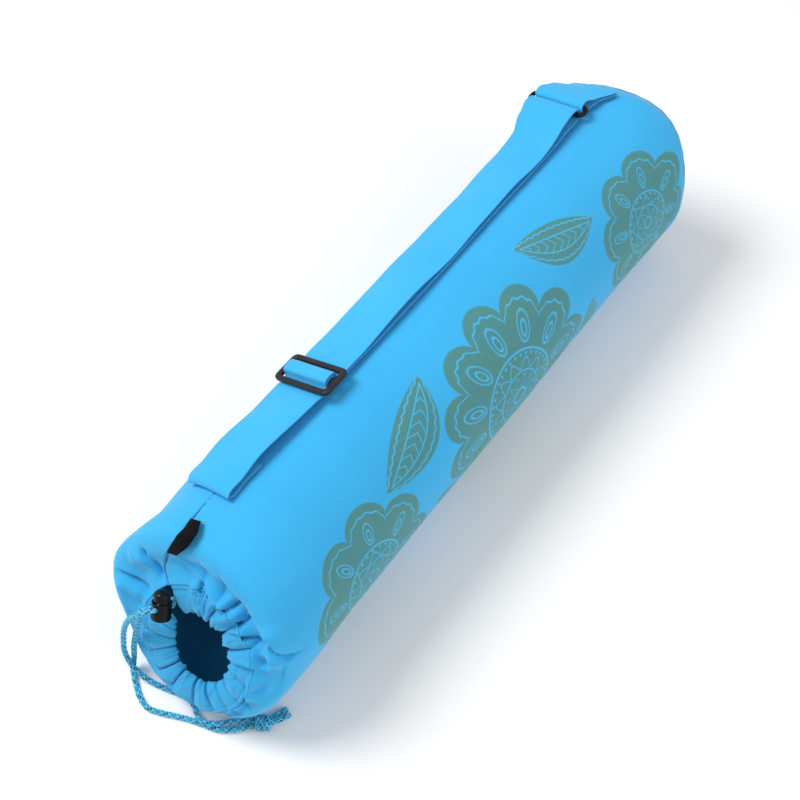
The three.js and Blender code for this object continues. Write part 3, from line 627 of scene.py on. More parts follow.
def cord_material(name, colour, sheen):
    m = Material(name, Roughness=0.62, Sheen_Weight=sheen, Sheen_Roughness=0.4)
    where = m.place()
    streaks = m.noise(where, 900.0)
    share = (streaks + m.noise(where, 60.0)).scaled(0.9, -0.4, clamp=True)
    m.set("Base Color", m.mix(share, shade_of(colour, 0.72), colour))
    m.bump(streaks, 0.4, 0.00008)
    return m.data


def plastic_material(name, grain, colour):
    m = Material(name, Coat_Weight=0.05, Coat_Roughness=0.3, Specular_IOR_Level=0.16)
    where = m.place()
    worn = m.noise(where, 130.0, 4.0, 0.65)
    m.set("Base Color", m.mix(worn * 0.5, colour, shade_of(colour, 2.2)))
    m.set("Roughness", worn.scaled(0.2, 0.24))
    m.bump(m.noise(where, 2600.0), grain, 0.00005)
    return m.data


def label_material(name):
    m = Material(name, Roughness=0.6, Specular_IOR_Level=0.04)
    threads = weave_height(*m.cloth_axes(), LABEL_WEAVE_STEP)
    # Painted light in the weave: raised threads are coloured paler than the low ones.
    share = threads.scaled(0.3, 0.35, clamp=True)
    m.set("Base Color", m.mix(share, LABEL_BLACK, shade_of(LABEL_BLACK, 1.6)))
    m.bump(threads, 0.5, 0.0001)
    return m.data


def speckled_material(name, colour, scale, dim, **inputs):
    m = Material(name, **inputs)
    m.set("Base Color", m.mix(m.noise(m.place(), scale), colour, shade_of(colour, dim)))
    return m.data


def thread_material(name, colour):
    looks = {"Roughness": 0.6, "Sheen_Weight": 0.3, "Sheen_Roughness": 0.4}
    return speckled_material(name, colour, 700.0, 0.7, **looks)


# Print: plain rosettes and leaves worked out from circles and waves

# Rows are (place along the bag, degrees round it from the top towards -Y, radius, turn in
# degrees), and the number of petals for a rosette.
MOTIFS = [
    (0.036, 84, 0.100, 0, 12),
    (-0.170, 90, 0.072, 12, 8),
    (0.252, 70, 0.068, 20, 8),
    (0.150, 182, 0.070, 5, 10),
    (-0.090, 205, 0.078, 9, 12),
    (0.200, 268, 0.064, 0, 8),
    (-0.080, 300, 0.056, 15, 8),
    (-0.078, 42, 0.052, 62),
    (0.150, 30, 0.046, 112),
    (0.150, 96, 0.030, 20),
    (-0.062, 108, 0.030, -30),
    (0.020, 160, 0.040, -40),
    (0.060, 250, 0.045, 30),
]
# In a petal, as (place, half width, half length, thickness). Rings, as (radius, half width).
PETAL_OVALS = ((0.64, 0.072, 0.15, 0.15), (0.62, 0.036, 0.085, 0.34))
ROSETTE_RINGS = ((0.44, 0.010), (0.25, 0.007), (0.08, 0.010))
# Stars, as (radius, wave, half width).
ROSETTE_STARS = ((0.32, 0.045, 0.008), (0.16, 0.05, 0.007))


def motif_group(name, inside, sockets):
    """A node group that gives the fill and the lines of one motif of radius 1."""
    tree = bpy.data.node_groups.new(name, "ShaderNodeTree")
    for socket in sockets:
        tree.interface.new_socket(name=socket, in_out="INPUT", socket_type="NodeSocketFloat")
    for socket in ("Fill", "Line"):
        tree.interface.new_socket(name=socket, in_out="OUTPUT", socket_type="NodeSocketFloat")
    n = Nodes(tree)
    entry = tree.nodes.new("NodeGroupInput")
    leave = tree.nodes.new("NodeGroupOutput")
    results = inside(*(Value(n, entry.outputs[socket]) for socket in sockets))
    for socket, value in zip(leave.inputs, results):
        n.put(socket, value)
    return tree


def most_of(values):
    most = values[0]
    for value in values[1:]:
        most = most.math("MAXIMUM", value)
    return most


def rosette(x, y, petals):
    far = (x * x + y * y).root()
    wave = y.math("ARCTAN2", x) * petals
    edge = abs((wave * 0.5).cosine()).math("POWER", 0.55).scaled(0.22, 0.78)
    fill = (edge - far).scaled(60, 0.5, clamp=True)
    rim = far - edge * 0.88 + (wave * 5).cosine() * 0.010
    near = (wave / (2 * math.pi)).fraction() - 0.5
    across = ((near + 1.0).fraction() - 0.5) * (far * (2 * math.pi) / petals)
    beads = (wave * 3).cosine() * 0.022 - abs(far - 0.40)
    lines = [rim.between(-0.009, 0.009, 0.010), beads.scaled(90, 0.0, clamp=True)]
    for middle, wide, long, thick in PETAL_OVALS:
        a, b = across / wide, (far - middle) / long
        lines.append((a * a + b * b).root().between(1 - thick, 1.0, 0.12))
    for radius, half in ROSETTE_RINGS:
        lines.append(far.between(radius - half, radius + half, 0.008))
    for radius, swing, half in ROSETTE_STARS:
        star = wave.cosine().scaled(swing, radius)
        lines.append((far - star).between(-half, half, 0.008))
    return fill, most_of(lines)


def leaf(x, y):
    length = (1.0 - y * y).math("MAXIMUM", 0.0)
    side = abs(x + y * y * 0.22)
    wide = length.scaled(0.44, -0.012)
    fill = (wide - side).scaled(50, 0.5, clamp=True)
    rim = side - wide * 0.76 + (y * 38).cosine() * 0.012
    inner = side - length.scaled(0.22, -0.06)
    ribs = ((y - side) * 5.5).fraction().between(0.44, 0.56, 0.08)
    lines = [rim.between(-0.013, 0.013, 0.014), inner.between(-0.011, 0.011, 0.012)]
    return fill, most_of([*lines, ribs * inner.math("LESS_THAN", 0.0)])


def flower_print(n, u, v, ground, fine):
    """The print's colour over the ground colour. u runs round the bag, v along it."""
    rosettes = motif_group("rosette", rosette, ("X", "Y", "Petals"))
    leaves = motif_group("leaf", leaf, ("X", "Y"))
    half_girth = math.pi * RADIUS
    fills = lines = None
    for at, around, radius, turn, *petals in MOTIFS:
        across = (u - math.radians(around) * RADIUS).math("WRAP", half_girth, -half_girth)
        along = v - at
        c = math.cos(math.radians(turn)) / radius
        s = math.sin(math.radians(turn)) / radius
        inputs = (along * c + across * s, across * c - along * s, *petals)
        tree = rosettes if petals else leaves
        fill = n.made("ShaderNodeGroup", 0, dict(enumerate(inputs)), node_tree=tree)
        line = fill.other(1) * fill
        if fills is None:
            fills, lines = fill, line
        else:
            lines = (lines * (1.0 - fill)).math("MAXIMUM", line)
            fills = fills.math("MAXIMUM", fill)
    blotch = n.noise(n.place(), 26.0).scaled(2.2, -0.6, clamp=True)
    ink = n.mix(fine * 0.22, n.mix(blotch, PRINT_OLIVE, PRINT_TEAL), ground)
    return n.mix(lines * 0.92, n.mix(fills, ground, ink), PRINT_LINE)


# Side panel with its gathers, creases and seams

FINE_FROM = -64
FINE_TO = 104
FINE_TURN = 0.62
PLAIN_TURN = 1.6
ROW_STEP_BODY = 0.0080
ROW_STEP_SHOULDER = 0.0020
ROW_STEP_FACE = 0.0011
SHOULDER_ROW = 7
CREASE_FROM_ROW = 8.0
CREASE_FADE_ROWS = 3.0
INNER_ROW_STEP = 4
SEAM_REACH = 0.006
SEAM_DEPTH = 0.0022
SEAM_HALF = 0.0009
SEAM_BANK = 0.0006
SEAM_BANK_HALF = 0.0035
SEAM_LIFT = 0.0001
# Radius of the dark tube that paints the seam's shadow line.
SEAM_SHADOW_RADIUS = 0.00036
RIPPLE_HEIGHT = 0.00035
FLOOR_CLEARANCE = 0.0002


def fine_degrees():
    """Angles round the bag, closer together on the side with the seam and the face's folds."""
    near = np.linspace(FINE_FROM, FINE_TO, int((FINE_TO - FINE_FROM) / FINE_TURN), endpoint=False)
    rest = 360 - (FINE_TO - FINE_FROM)
    far = np.linspace(FINE_TO, FINE_TO + rest, int(rest / PLAIN_TURN), endpoint=False)
    return np.concatenate([near, far])


# Creases near the mouth, as (half width, depth, line) in millimetres over the leaning face, the
# line as (side, up) from its middle. A depth below zero stands out.
CREASES = [
    (2.4, 7.5, [(-84, 0), (-70, 2.2), (-57.8, 3.0), (-43.5, 2.7)]),
    (6.0, -3.6, [(-80, -8), (-66, -6), (-50, -5)]),
    (3.4, 7.2, [(-62, 42), (-59, 36.9), (-47.7, 29.7), (-37.4, 20.2)]),
    (7.0, -4.0, [(-76, 22), (-60, 30), (-49, 36)]),
    (3.0, -3.8, [(-36, 58), (-17.9, 53.8), (-5.2, 51.1), (18.4, 41.5), (30, 36)]),
    (1.5, 4.3, [(-4.5, 49), (-2.8, 41), (-1.3, 35.5), (0.6, 26)]),
    (3.0, -2.0, [(-9.5, 47), (-8, 36), (-6, 25)]),
    (1.6, 3.8, [(4.5, 43), (7.0, 37), (8.8, 29), (8.6, 22)]),
    (2.6, -2.2, [(1.8, 40), (4.5, 31), (5.0, 22)]),
    (1.9, 6.1, [(33, 53), (30.2, 50.8), (25.5, 42.4), (17.7, 33.9), (12.5, 27)]),
    (3.2, -2.9, [(26, 55), (19, 44), (12, 36), (9, 29)]),
    (1.9, 6.1, [(46, 44), (42.5, 44.1), (39.2, 36.0), (29.4, 29.8), (21, 23)]),
    (3.2, -3.2, [(36, 46), (30, 38), (22, 31), (17, 25)]),
    (1.7, 6.4, [(24.5, 15), (34.3, 23.4), (44.7, 27.8), (55.5, 30.3)]),
    (2.4, 8.5, [(52, 29.6), (60, 32), (66, 37.5), (71.3, 31), (80.1, 28), (88, 36)]),
    (6.0, -5.2, [(58, 43), (67, 47), (76, 42), (84, 46)]),
    (5.0, -3.2, [(60, 24), (70, 22), (80, 19)]),
    (3.0, -2.3, [(46, 34), (38, 29), (30, 21), (25, 18)]),
    (1.5, 2.9, [(36.0, 14.1), (43.9, 25.6)]),
    (2.6, -3.4, [(36.8, 6.5), (55.3, 9.0), (76.0, 9.0)]),
    (3.0, 7.8, [(50.9, 3.6), (55.1, -10.5), (59.6, -25.0), (62.4, -36.2)]),
    (5.0, -4.9, [(66, 2), (67, -12), (70, -26)]),
    (1.6, 2.9, [(41.6, -20.2), (48, -17), (54.4, -12.8)]),
    (2.2, 3.8, [(-40, -27), (-33.2, -23.6), (-25.6, -16.7), (-20.2, -11)]),
    (2.0, 3.5, [(-36, -36), (-30.6, -33.1), (-22.5, -30.9), (-16.5, -26.2)]),
    (2.2, 4.1, [(-20, -50), (-14.9, -43.9), (-9.6, -35), (-4.5, -28)]),
    (2.2, 4.1, [(-7, -54), (-2.8, -47.5), (3.0, -40), (8.6, -36.8)]),
    (2.2, 3.5, [(2, -60), (5.4, -54.3), (10.5, -46), (16, -40.2)]),
    (1.8, 2.9, [(36.4, -50), (36.4, -42), (36.8, -36.5)]),
    (1.8, 2.9, [(21, -60), (22.6, -51), (24.6, -43)]),
    (1.6, 2.6, [(-31, -14), (-27, -8), (-22, -4)]),
]


def seam_path(count):
    """The panel's long seam on its outer side, from under the strap to the casing."""
    rows = np.array([5.0, 6.0, 7.0, 8.3, 9.2, 9.9, 10.9, 12.4, 13.6, 14.24, 14.8, 15.7, 16.4, 17.0])
    around = np.array([-22.0] * 7 + [-23, -29, -35, -41, -48, -48.5, -47])
    fine = spline_rows(skin_rows(around), rows)
    return curve_through(fine[np.arange(len(rows)), np.arange(len(rows))], count)


def near_path(points, path, reach):
    """Numbers of the points in the path's box, grown by reach."""
    low, high = path.min(0) - reach, path.max(0) + reach
    return np.flatnonzero(((points > low) & (points < high)).all(axis=1))


def crease_offset(points):
    """How far each point is moved out of the face by the creases."""
    flat = (points - FACE_MIDDLE) * 1000
    place = np.stack([flat @ FACE_SIDE, flat @ FACE_UP], axis=-1)
    close = np.clip((flat @ FACE_OUT + 22) / 10, 0, 1)
    offset = np.zeros(len(points))
    for width, depth, line in CREASES:
        path = curve_through(line, 28)
        start, step = path[:-1], np.diff(path, axis=0)
        inside = near_path(place, path, 3.2 * width)
        if len(inside) == 0:
            continue
        gap = place[inside][:, None] - start
        t = np.clip((gap * step).sum(-1) / (step**2).sum(-1), 0, 1)
        distance = np.linalg.norm(gap - t[..., None] * step, axis=-1)
        best = distance.argmin(axis=1)
        pick = np.arange(len(inside)), best
        share = (best + t[pick]) / len(step)
        taper = np.clip(4.2 * np.minimum(share, 1 - share) + 0.12, 0, 1)
        offset[inside] -= depth * taper * bell(distance[pick] / width) * close[inside]
    return offset / 1000


def distance_to_path(points, path, reach):
    """Distance of each point to a path, or 1 where it is further than reach."""
    result = np.ones(len(points))
    inside = near_path(points, path, reach)
    for chunk in np.array_split(inside, max(1, len(inside) // 4000)):
        if len(chunk):
            gaps = points[chunk][:, None] - path[None]
            result[chunk] = np.linalg.norm(gaps, axis=-1).min(axis=1)
    return result


def fine_row_numbers(rows):
    numbers = [0.0]
    for k, gap in enumerate(step_lengths(rows).mean(axis=1)):
        step = ROW_STEP_BODY if k < SHOULDER_ROW else ROW_STEP_SHOULDER
        if k >= len(BODY_SECTIONS) - 1:
            step = ROW_STEP_FACE
        count = max(2, int(round(gap / step)))
        numbers.extend(k + (i + 1) / count for i in range(count))
    return np.array(numbers)


def cloth_ripple(rows, degrees, numbers):
    """Slight slack waves of the filled cloth, strongest towards both ends. Metres."""
    along = rows[:, :, 0] / BAG_LENGTH
    angle = np.radians(degrees)[None, :]
    ends = bell((along - 0.47) / 0.06) + bell((along + 0.36) / 0.08)
    wave = np.sin(7 * angle + 9 * along + 1.3) * np.sin(31 * along + 2 * angle)
    wave = wave + 0.6 * np.sin(13 * angle - 22 * along) * np.sin(19 * along - 3 * angle + 0.7)
    quiet = np.clip((14.5 - numbers) / 2, 0, 1)[:, None]
    return RIPPLE_HEIGHT * wave * (0.35 + ends) * quiet


def make_skin(material, lining, shade):
    degrees = fine_degrees()
    coarse = skin_rows(degrees)
    numbers = fine_row_numbers(coarse)
    rows = spline_rows(coarse, numbers)
    normals = row_normals(rows)
    rows = rows + cloth_ripple(rows, degrees, numbers)[:, :, None] * normals
    flat = rows.reshape(-1, 3)
    seam = seam_path(300)
    far = distance_to_path(flat, seam, SEAM_REACH)
    depth = SEAM_DEPTH * bell(far / SEAM_HALF) - SEAM_BANK * bell(far / SEAM_BANK_HALF)
    flat = flat - depth[:, None] * normals.reshape(-1, 3)
    share = np.clip((numbers - CREASE_FROM_ROW) / CREASE_FADE_ROWS, 0, 1)
    share = np.repeat(share, len(degrees))
    flat = flat + (crease_offset(flat) * share)[:, None] * FACE_OUT
    flat[:, 2] = np.maximum(flat[:, 2], FLOOR_CLEARANCE)
    outer = flat.reshape(rows.shape)
    kept = np.append(np.arange(0, len(outer) - 1, INNER_ROW_STEP), len(outer) - 1)
    inner = outer - row_normals(outer) * CLOTH
    inner[:, :, 2] = np.maximum(inner[:, :, 2], CLOTH)
    inner[-1] = outer[-1] - FACE_OUT * CLOTH
    travel = np.concatenate([[0], np.cumsum(step_lengths(rows).mean(axis=1))])
    v = rows[0, :, 0].mean() - travel
    u = np.radians(np.append(degrees, degrees[0] + 360)) * RADIUS
    u, v = np.broadcast_arrays(u[None, :], v[:, None])
    points, faces, uv, front = two_walls(outer, inner[kept], u, v, kept)
    is_lining = np.arange(len(faces)) >= front
    piece = add_mesh("bag_skin", points, faces, [material, lining], uv=uv, slots=is_lining)
    declare(piece, "side_panel")
    line, surface = seam[::2], outer.reshape(-1, 3)
    nearest = [np.argmin(((surface - p) ** 2).sum(axis=1)) for p in line]
    lifted = line + SEAM_LIFT * row_normals(outer).reshape(-1, 3)[nearest]
    # A thin dark tube in the seam's groove: a painted shadow line, not a sewn thread.
    fold = add_mesh("seam_painted_shadow", *tube_mesh(curve_through(lifted, 400), SEAM_SHADOW_RADIUS, 6), [shade])
    declare(fold)


# Round end panel

END_ROWS = [(1.00, 0.00), (0.97, 0.42), (0.90, 0.72), (0.68, 0.92), (0.35, 1.00), (0.0, 1.0)]
END_FINE = 60
PUCKERS = 34
PUCKER_HEIGHT = 0.0003
PUCKER_AT = 0.95


def make_end_panel(material):
    degrees = fine_degrees()
    count = len(degrees)
    edge = body_ring(BODY_SECTIONS[0], degrees)
    seam_x = BODY_SECTIONS[0][0] * BAG_LENGTH
    middle = np.array([seam_x + 2 * FIT_GAP, 0.0, AXIS_HEIGHT])
    spoke = edge - [seam_x, 0.0, AXIS_HEIGHT]
    profile = curve_through([(a, b * END_DOME / RADIUS) for a, b in END_ROWS], END_FINE)
    reach, rise = profile[:-1, 0] * (1 - FIT_GAP / RADIUS), profile[:-1, 1] * RADIUS
    wave = np.sin(PUCKERS * np.radians(degrees))[None, :]
    pucker = PUCKER_HEIGHT * bell((reach - PUCKER_AT) / 0.03)[:, None] * wave
    rows = middle + reach[:, None, None] * spoke[None]
    rows[:, :, 0] += rise[:, None] + pucker
    inner = rows[::6].copy()
    inner[:, :, 0] -= CLOTH
    inner[0] = middle + spoke * (1 - 2 * CLOTH / RADIUS)
    for layer in (rows, inner):
        layer[:, :, 2] = np.maximum(layer[:, :, 2], FLOOR_CLEARANCE)
    tips = middle + [(END_DOME, 0, 0), (END_DOME - CLOTH, 0, 0)]
    points = np.concatenate([rows.reshape(-1, 3), inner.reshape(-1, 3), tips])
    start = len(rows) * count
    last, inner_last = start - count, start + (len(inner) - 1) * count
    pairs = list(zip(range(count), [*range(1, count), 0]))
    faces = grid_faces(len(rows), count).tolist()
    faces += grid_faces(len(inner), count, start, flip=True).tolist()
    faces += [(start + b, start + a, a, b) for a, b in pairs]
    faces += [(last + a, last + b, len(points) - 2) for a, b in pairs]
    faces += [(inner_last + b, inner_last + a, len(points) - 1) for a, b in pairs]
    corners = points[np.concatenate(faces)]
    piece = add_mesh("end_cloth", points, faces, [material], uv=corners[:, 1:])
    declare(piece, "end_panel")


# Drawstring casing: a ruffled flat tube with a stitched seam, open at its two ends

CASING_FINE = 1000
CASING_SIDES = 40
CASING_SEAM = 0.16
MOUTH_DRAWN = 0.0035
MOUTH_PULL = 0.007
MOUTH_PULL_AT = -105
MOUTH_PULL_SPREAD = 42
MOUTH_DROP = 0.0030
CASING_GROOVE = 0.0011
CRUMPLE_HEIGHT = 0.00035
PIT_DEPTH = 0.0034
# Stitches, as (step, length, thickness).
CASING_STITCH = (0.0030, 0.0021, 0.00024)
STRAP_STITCH = (0.0032, 0.0023, 0.00028)


def casing_point(angle, turn, half_width, half_height):
    """A point of the casing's surface. turn is 0 on its outer side and pi on the mouth's edge."""
    inwards = (1 - np.cos(turn)) / 2
    ridge = pleat(angle, inwards)
    small = np.sin(2 * GATHERS * angle + 1.7 * np.sin(5 * angle)) + 0.6 * np.sin(57 * angle + 2.0)
    wide = half_width + MOUTH_DRAWN / 2
    reach = CASING_RADIUS - MOUTH_DRAWN / 2 + wide * np.cos(turn)
    side_pull = MOUTH_PULL * bell(turned(np.degrees(angle), MOUTH_PULL_AT) / MOUTH_PULL_SPREAD)
    radius = reach - (1.6 * SCALLOP_DEPTH * (ridge + 0.22 * small) + side_pull) * inwards
    out = 0.95 * FACE_RISE + GATHER_DEPTH * ridge * (1 - 0.35 * inwards) + 0.0016
    top = np.clip(np.sin(turn), 0, 1)
    out = out + CRUMPLE_HEIGHT * small * top * (0.4 + 0.6 * inwards)
    bulge = np.where(np.sin(turn) > 0, 0.30 + 0.75 * inwards**1.3, 1.0)
    groove = CASING_GROOVE * bell((inwards - CASING_SEAM) / 0.035) * (np.sin(turn) > 0)
    out = out + half_height * np.sin(turn) * bulge - groove - MOUTH_DROP * inwards**3
    pit = np.clip(-1.6 * ridge - 0.2, 0, 1) ** 2
    out = out - PIT_DEPTH * pit * inwards**0.6
    return face_point(MOUTH_SIDE + radius * np.sin(angle), MOUTH_UP + radius * np.cos(angle), out)


def make_casing(material, thread):
    gap_half = CASING_GAP_WIDTH / 2 / CASING_RADIUS
    start = math.radians(CASING_GAP_MIDDLE) + gap_half
    angle = start + np.linspace(0, 2 * math.pi - 2 * gap_half, CASING_FINE)
    turn = np.linspace(0, 2 * math.pi, CASING_SIDES, endpoint=False)
    a, t = angle[:, None], turn[None, :]
    outer = casing_point(a, t, CASING_WIDTH / 2, CASING_THICKNESS / 2)
    within = CASING_WIDTH / 2 - CLOTH, CASING_THICKNESS / 2 - CLOTH
    inner = casing_point(a[::3], t, *within)
    inner[-1] = casing_point(a[-1:], t, *within)[0]
    flat = outer.reshape(-1, 3)
    share = np.tile(1 - 0.25 * (1 - np.cos(turn)), CASING_FINE)
    outer = (flat + (crease_offset(flat) * share)[:, None] * FACE_OUT).reshape(outer.shape)
    u = CASING_RADIUS * 1.5 * (a - start)
    v = np.linspace(0, 2.4 * CASING_WIDTH, CASING_SIDES + 1)[None]
    u, v = np.broadcast_arrays(u, v)
    points, faces, uv, _ = two_walls(outer, inner, u, v, np.s_[::3], hem_order=-1)
    piece = add_mesh("casing_cloth", points, faces, [material], uv=uv)
    declare(piece, "drawstring_casing")
    column = int(round(CASING_SIDES * math.acos(1 - 2 * CASING_SEAM) / (2 * math.pi)))
    rows = [outer[8:-8, column], *(outer[k, column + 2 : column + 8] for k in (10, 15))]
    make_stitches("casing_thread", rows, thread, "bag_cloth", *CASING_STITCH)


# Shoulder strap, tab and their fittings

LAYER_GAP = 0.0005
STRAP_CLEARANCE = 0.0006
TAIL_LENGTH = 0.038
STRAP_START = -0.217
STRAP_LOFT = 0.0045
STRAP_SLACK = 0.0008
SLIDER_AT = -0.091
SLIDER_WIDTH = 0.063
SLIDER_DEPTH = 0.030
SLIDER_BAR = 0.005
SLIDER_HEIGHT = 0.004
RING_AT = 0.276
RING_WIDTH = 0.062
RING_DEPTH = 0.0155
RING_ROD = 0.004
LOWER_LAYER = STRAP_CLEARANCE + STRAP_THICKNESS / 2
LAYER_STEP = STRAP_THICKNESS + LAYER_GAP
UPPER_LAYER = LOWER_LAYER + LAYER_STEP
BAR_BOTTOM = UPPER_LAYER + STRAP_THICKNESS / 2 + FIT_GAP
BAR_TOP = BAR_BOTTOM + SLIDER_HEIGHT
BAR_MIDDLE = (BAR_BOTTOM + BAR_TOP) / 2
BAR_CLEAR = FIT_GAP + STRAP_THICKNESS / 2
ROD_CLEAR = RING_ROD * 0.62 + FIT_GAP + STRAP_THICKNESS / 2
ROD_HEIGHT = LOWER_LAYER + ROD_CLEAR
RING_SPAN = RING_DEPTH - RING_ROD
STRAP_STEP = 0.0011
STRAP_FINE = 33
HEM_IN = 0.0035
# Columns at each edge of a band that take the painted shade.
SHADED_EDGE_COLUMNS = 2
DRAPE_SCALE = 0.02
SECTION_SIDES = 24
BAR_ROWS = 12

# Line of the strap over the bag, as (place, around, stand): a share of the bag's length, degrees
# from the top towards -Y, and how far the strap's +Y edge stands off.
STRAP_LINE = [
    (-0.3288, -27.0, 0.0),
    (-0.1379, -25.2, 0.0),
    (0.3000, -26.0, 0.0),
    (0.3515, -26.0, 0.0015),
    (0.3788, -26.5, 0.009),
    (0.4000, -26.5, 0.013),
    (0.4340, -26.5, 0.013),
    (0.4515, -25.0, 0.012),
    (0.4820, -20.0, 0.001),
]
# The strap between slider and ring, as (share of the way, rise, drape) above, and (share, drape)
# on its way back below. The sewn tail, as (tail lengths from the fold, rise, drape).
STRAP_ABOVE = [
    (0.15, 0.1, 0.5), (0.27, 0.55, 0.6), (0.4, 0.2, 0.65), (0.55, 0.1, 0.65), (0.7, 0.35, 0.6),
    (0.82, 0.2, 0.5), (0.88, 0.4, 0.3), (0.94, 0.9, 0.15),
]
STRAP_BELOW = [
    (0.94, 0.15), (0.88, 0.3), (0.8, 0.5), (0.6, 0.6), (0.4, 0.65), (0.25, 0.6), (0.15, 0.5),
]
STRAP_TAIL = [(0.5, 0.55, 0.85), (1.0, 1.0, 0.75), (1.7, 0.75, 0.65), (2.4, 0.25, 0.35)]


def strap_seat(x):
    places, _, wide, high = np.array(BODY_SECTIONS)[::-1].T
    return RADIUS * np.interp(x / BAG_LENGTH, places, np.maximum(wide, high))


def strap_line(x, column):
    table = np.array(STRAP_LINE)
    at = np.asarray(x, float) / BAG_LENGTH
    low = np.clip(np.searchsorted(table[:, 0], at, side="right") - 1, 0, len(table) - 2)
    share = np.clip((at - table[low, 0]) / (table[low + 1, 0] - table[low, 0]), 0, 1)
    smooth = share * share * (3 - 2 * share)
    return table[low, column] + (table[low + 1, column] - table[low, column]) * smooth


def over_bag(x, height, across, drape):
    """A point over the bag. drape is 1 where the strap follows the bag's round."""
    angle = np.radians(strap_line(x, 1))
    reach = strap_seat(x) + height + strap_line(x, 2) * (0.5 - across / STRAP_WIDTH)
    turn = across / reach
    radial = reach * (1 + (np.cos(turn) - 1) * drape)
    sideways = across + (reach * np.sin(turn) - across) * drape
    y = -radial * np.sin(angle) - sideways * np.cos(angle)
    z = AXIS_HEIGHT + radial * np.cos(angle) - sideways * np.sin(angle)
    return np.stack(np.broadcast_arrays(x, y, z), axis=-1)


def over_bar(grow):
    half = SLIDER_BAR / 2
    clear = BAR_CLEAR + grow
    rise = [(half + clear, BAR_MIDDLE), (half + clear * 0.74, BAR_TOP + clear * 0.74)]
    rise.append((half * 0.6, BAR_TOP + clear))
    return [(SLIDER_AT - x, h, 0) for x, h in rise] + [(SLIDER_AT + x, h, 0) for x, h in rise[::-1]]


def round_rod(x, direction):
    turns = np.radians([-90, -60, -30, 0, 30, 60, 90])
    return [
        (x + direction * ROD_CLEAR * math.cos(t), ROD_HEIGHT + ROD_CLEAR * math.sin(t), 0)
        for t in turns
    ]


def strap_path():
    """Points of the strap's middle line as (x, height over the bag, drape)."""
    fold = LAYER_STEP / 2
    near_rod = RING_AT - RING_SPAN / 2
    slope = SLIDER_BAR / 2 + BAR_CLEAR + LAYER_STEP
    run = near_rod - SLIDER_AT

    def lower(x, drape):
        return (x, LOWER_LAYER, drape)

    def upper(x, rise, drape):
        return (x, UPPER_LAYER + rise * STRAP_LOFT, drape)

    return [
        lower(STRAP_START + TAIL_LENGTH, 0.9),
        lower(STRAP_START + TAIL_LENGTH / 2, 0.9),
        lower(STRAP_START + fold, 0.9),
        (STRAP_START, LOWER_LAYER + fold, 0.9),
        upper(STRAP_START + fold, 0, 0.9),
        *(upper(STRAP_START + TAIL_LENGTH * share, *rest) for share, *rest in STRAP_TAIL),
        upper(SLIDER_AT - SLIDER_DEPTH * 0.7, 0, 0.05),
        upper(SLIDER_AT - slope - LAYER_STEP, 0, 0),
        *over_bar(LAYER_STEP),
        upper(SLIDER_AT + slope + LAYER_STEP, 0, 0),
        upper(SLIDER_AT + SLIDER_DEPTH * 0.7, 0, 0.05),
        *(upper(SLIDER_AT + run * share, *rest) for share, *rest in STRAP_ABOVE),
        *round_rod(near_rod, 1)[::-1],
        *(lower(SLIDER_AT + run * share, drape) for share, drape in STRAP_BELOW),
        lower(SLIDER_AT + SLIDER_DEPTH * 0.7, 0.05),
        lower(SLIDER_AT + slope, 0),
        *over_bar(0)[::-1],
        (SLIDER_AT - SLIDER_BAR / 2 - BAR_CLEAR * 0.74, BAR_BOTTOM - BAR_CLEAR * 0.74, 0),
        (SLIDER_AT - SLIDER_BAR / 4, BAR_BOTTOM - BAR_CLEAR, 0),
        (SLIDER_AT + SLIDER_BAR / 4, BAR_BOTTOM - BAR_CLEAR, 0),
    ]


def tab_path():
    far_rod = RING_AT + RING_SPAN / 2
    seam = BODY_SECTIONS[1][0] * BAG_LENGTH
    between = (far_rod + seam) / 2
    return [
        (seam, LOWER_LAYER, 0.7),
        (between, LOWER_LAYER, 0.35),
        *round_rod(far_rod, -1),
        (between, UPPER_LAYER + (ROD_HEIGHT - UPPER_LAYER) * 0.9, 0.35),
        (seam, UPPER_LAYER, 0.7),
    ]


def band_rows(path, lift):
    """A band's upper and lower surface, its lengths and its places across. lift adds height."""
    steps = np.array(path) * [1, 1, DRAPE_SCALE]
    fine = curve_through(steps, int(path_length(steps[:, :2]) / STRAP_STEP))
    x, h, drape = (column[:, None] for column in fine.T)
    run = normalized(np.gradient(fine[:, :2], axis=0))
    share = np.linspace(-1, 1, STRAP_FINE)
    across = (1.5 * share - 0.5 * share**3) * STRAP_WIDTH / 2
    edge = STRAP_WIDTH / 2 - np.abs(across)
    round_edge = np.sqrt(np.clip(1 - (1 - edge / (STRAP_THICKNESS / 2)) ** 2, 0, 1))
    thick = np.where(edge < STRAP_THICKNESS / 2, round_edge, 1.0)
    seam = 1 - 0.30 * bell((edge - HEM_IN) / 0.0006)
    half = STRAP_THICKNESS / 2 * np.maximum(thick * seam, 0.02)
    extra = lift(x, h, across[None, :])
    drape = drape / DRAPE_SCALE
    upper, lower = (
        over_bag(x - run[:, 1:] * side, h + run[:, :1] * side + extra, across[None, :], drape)
        for side in (half[None, :], -half[None, :])
    )
    return upper, lower, lengths_along(fine[:, :2]), across


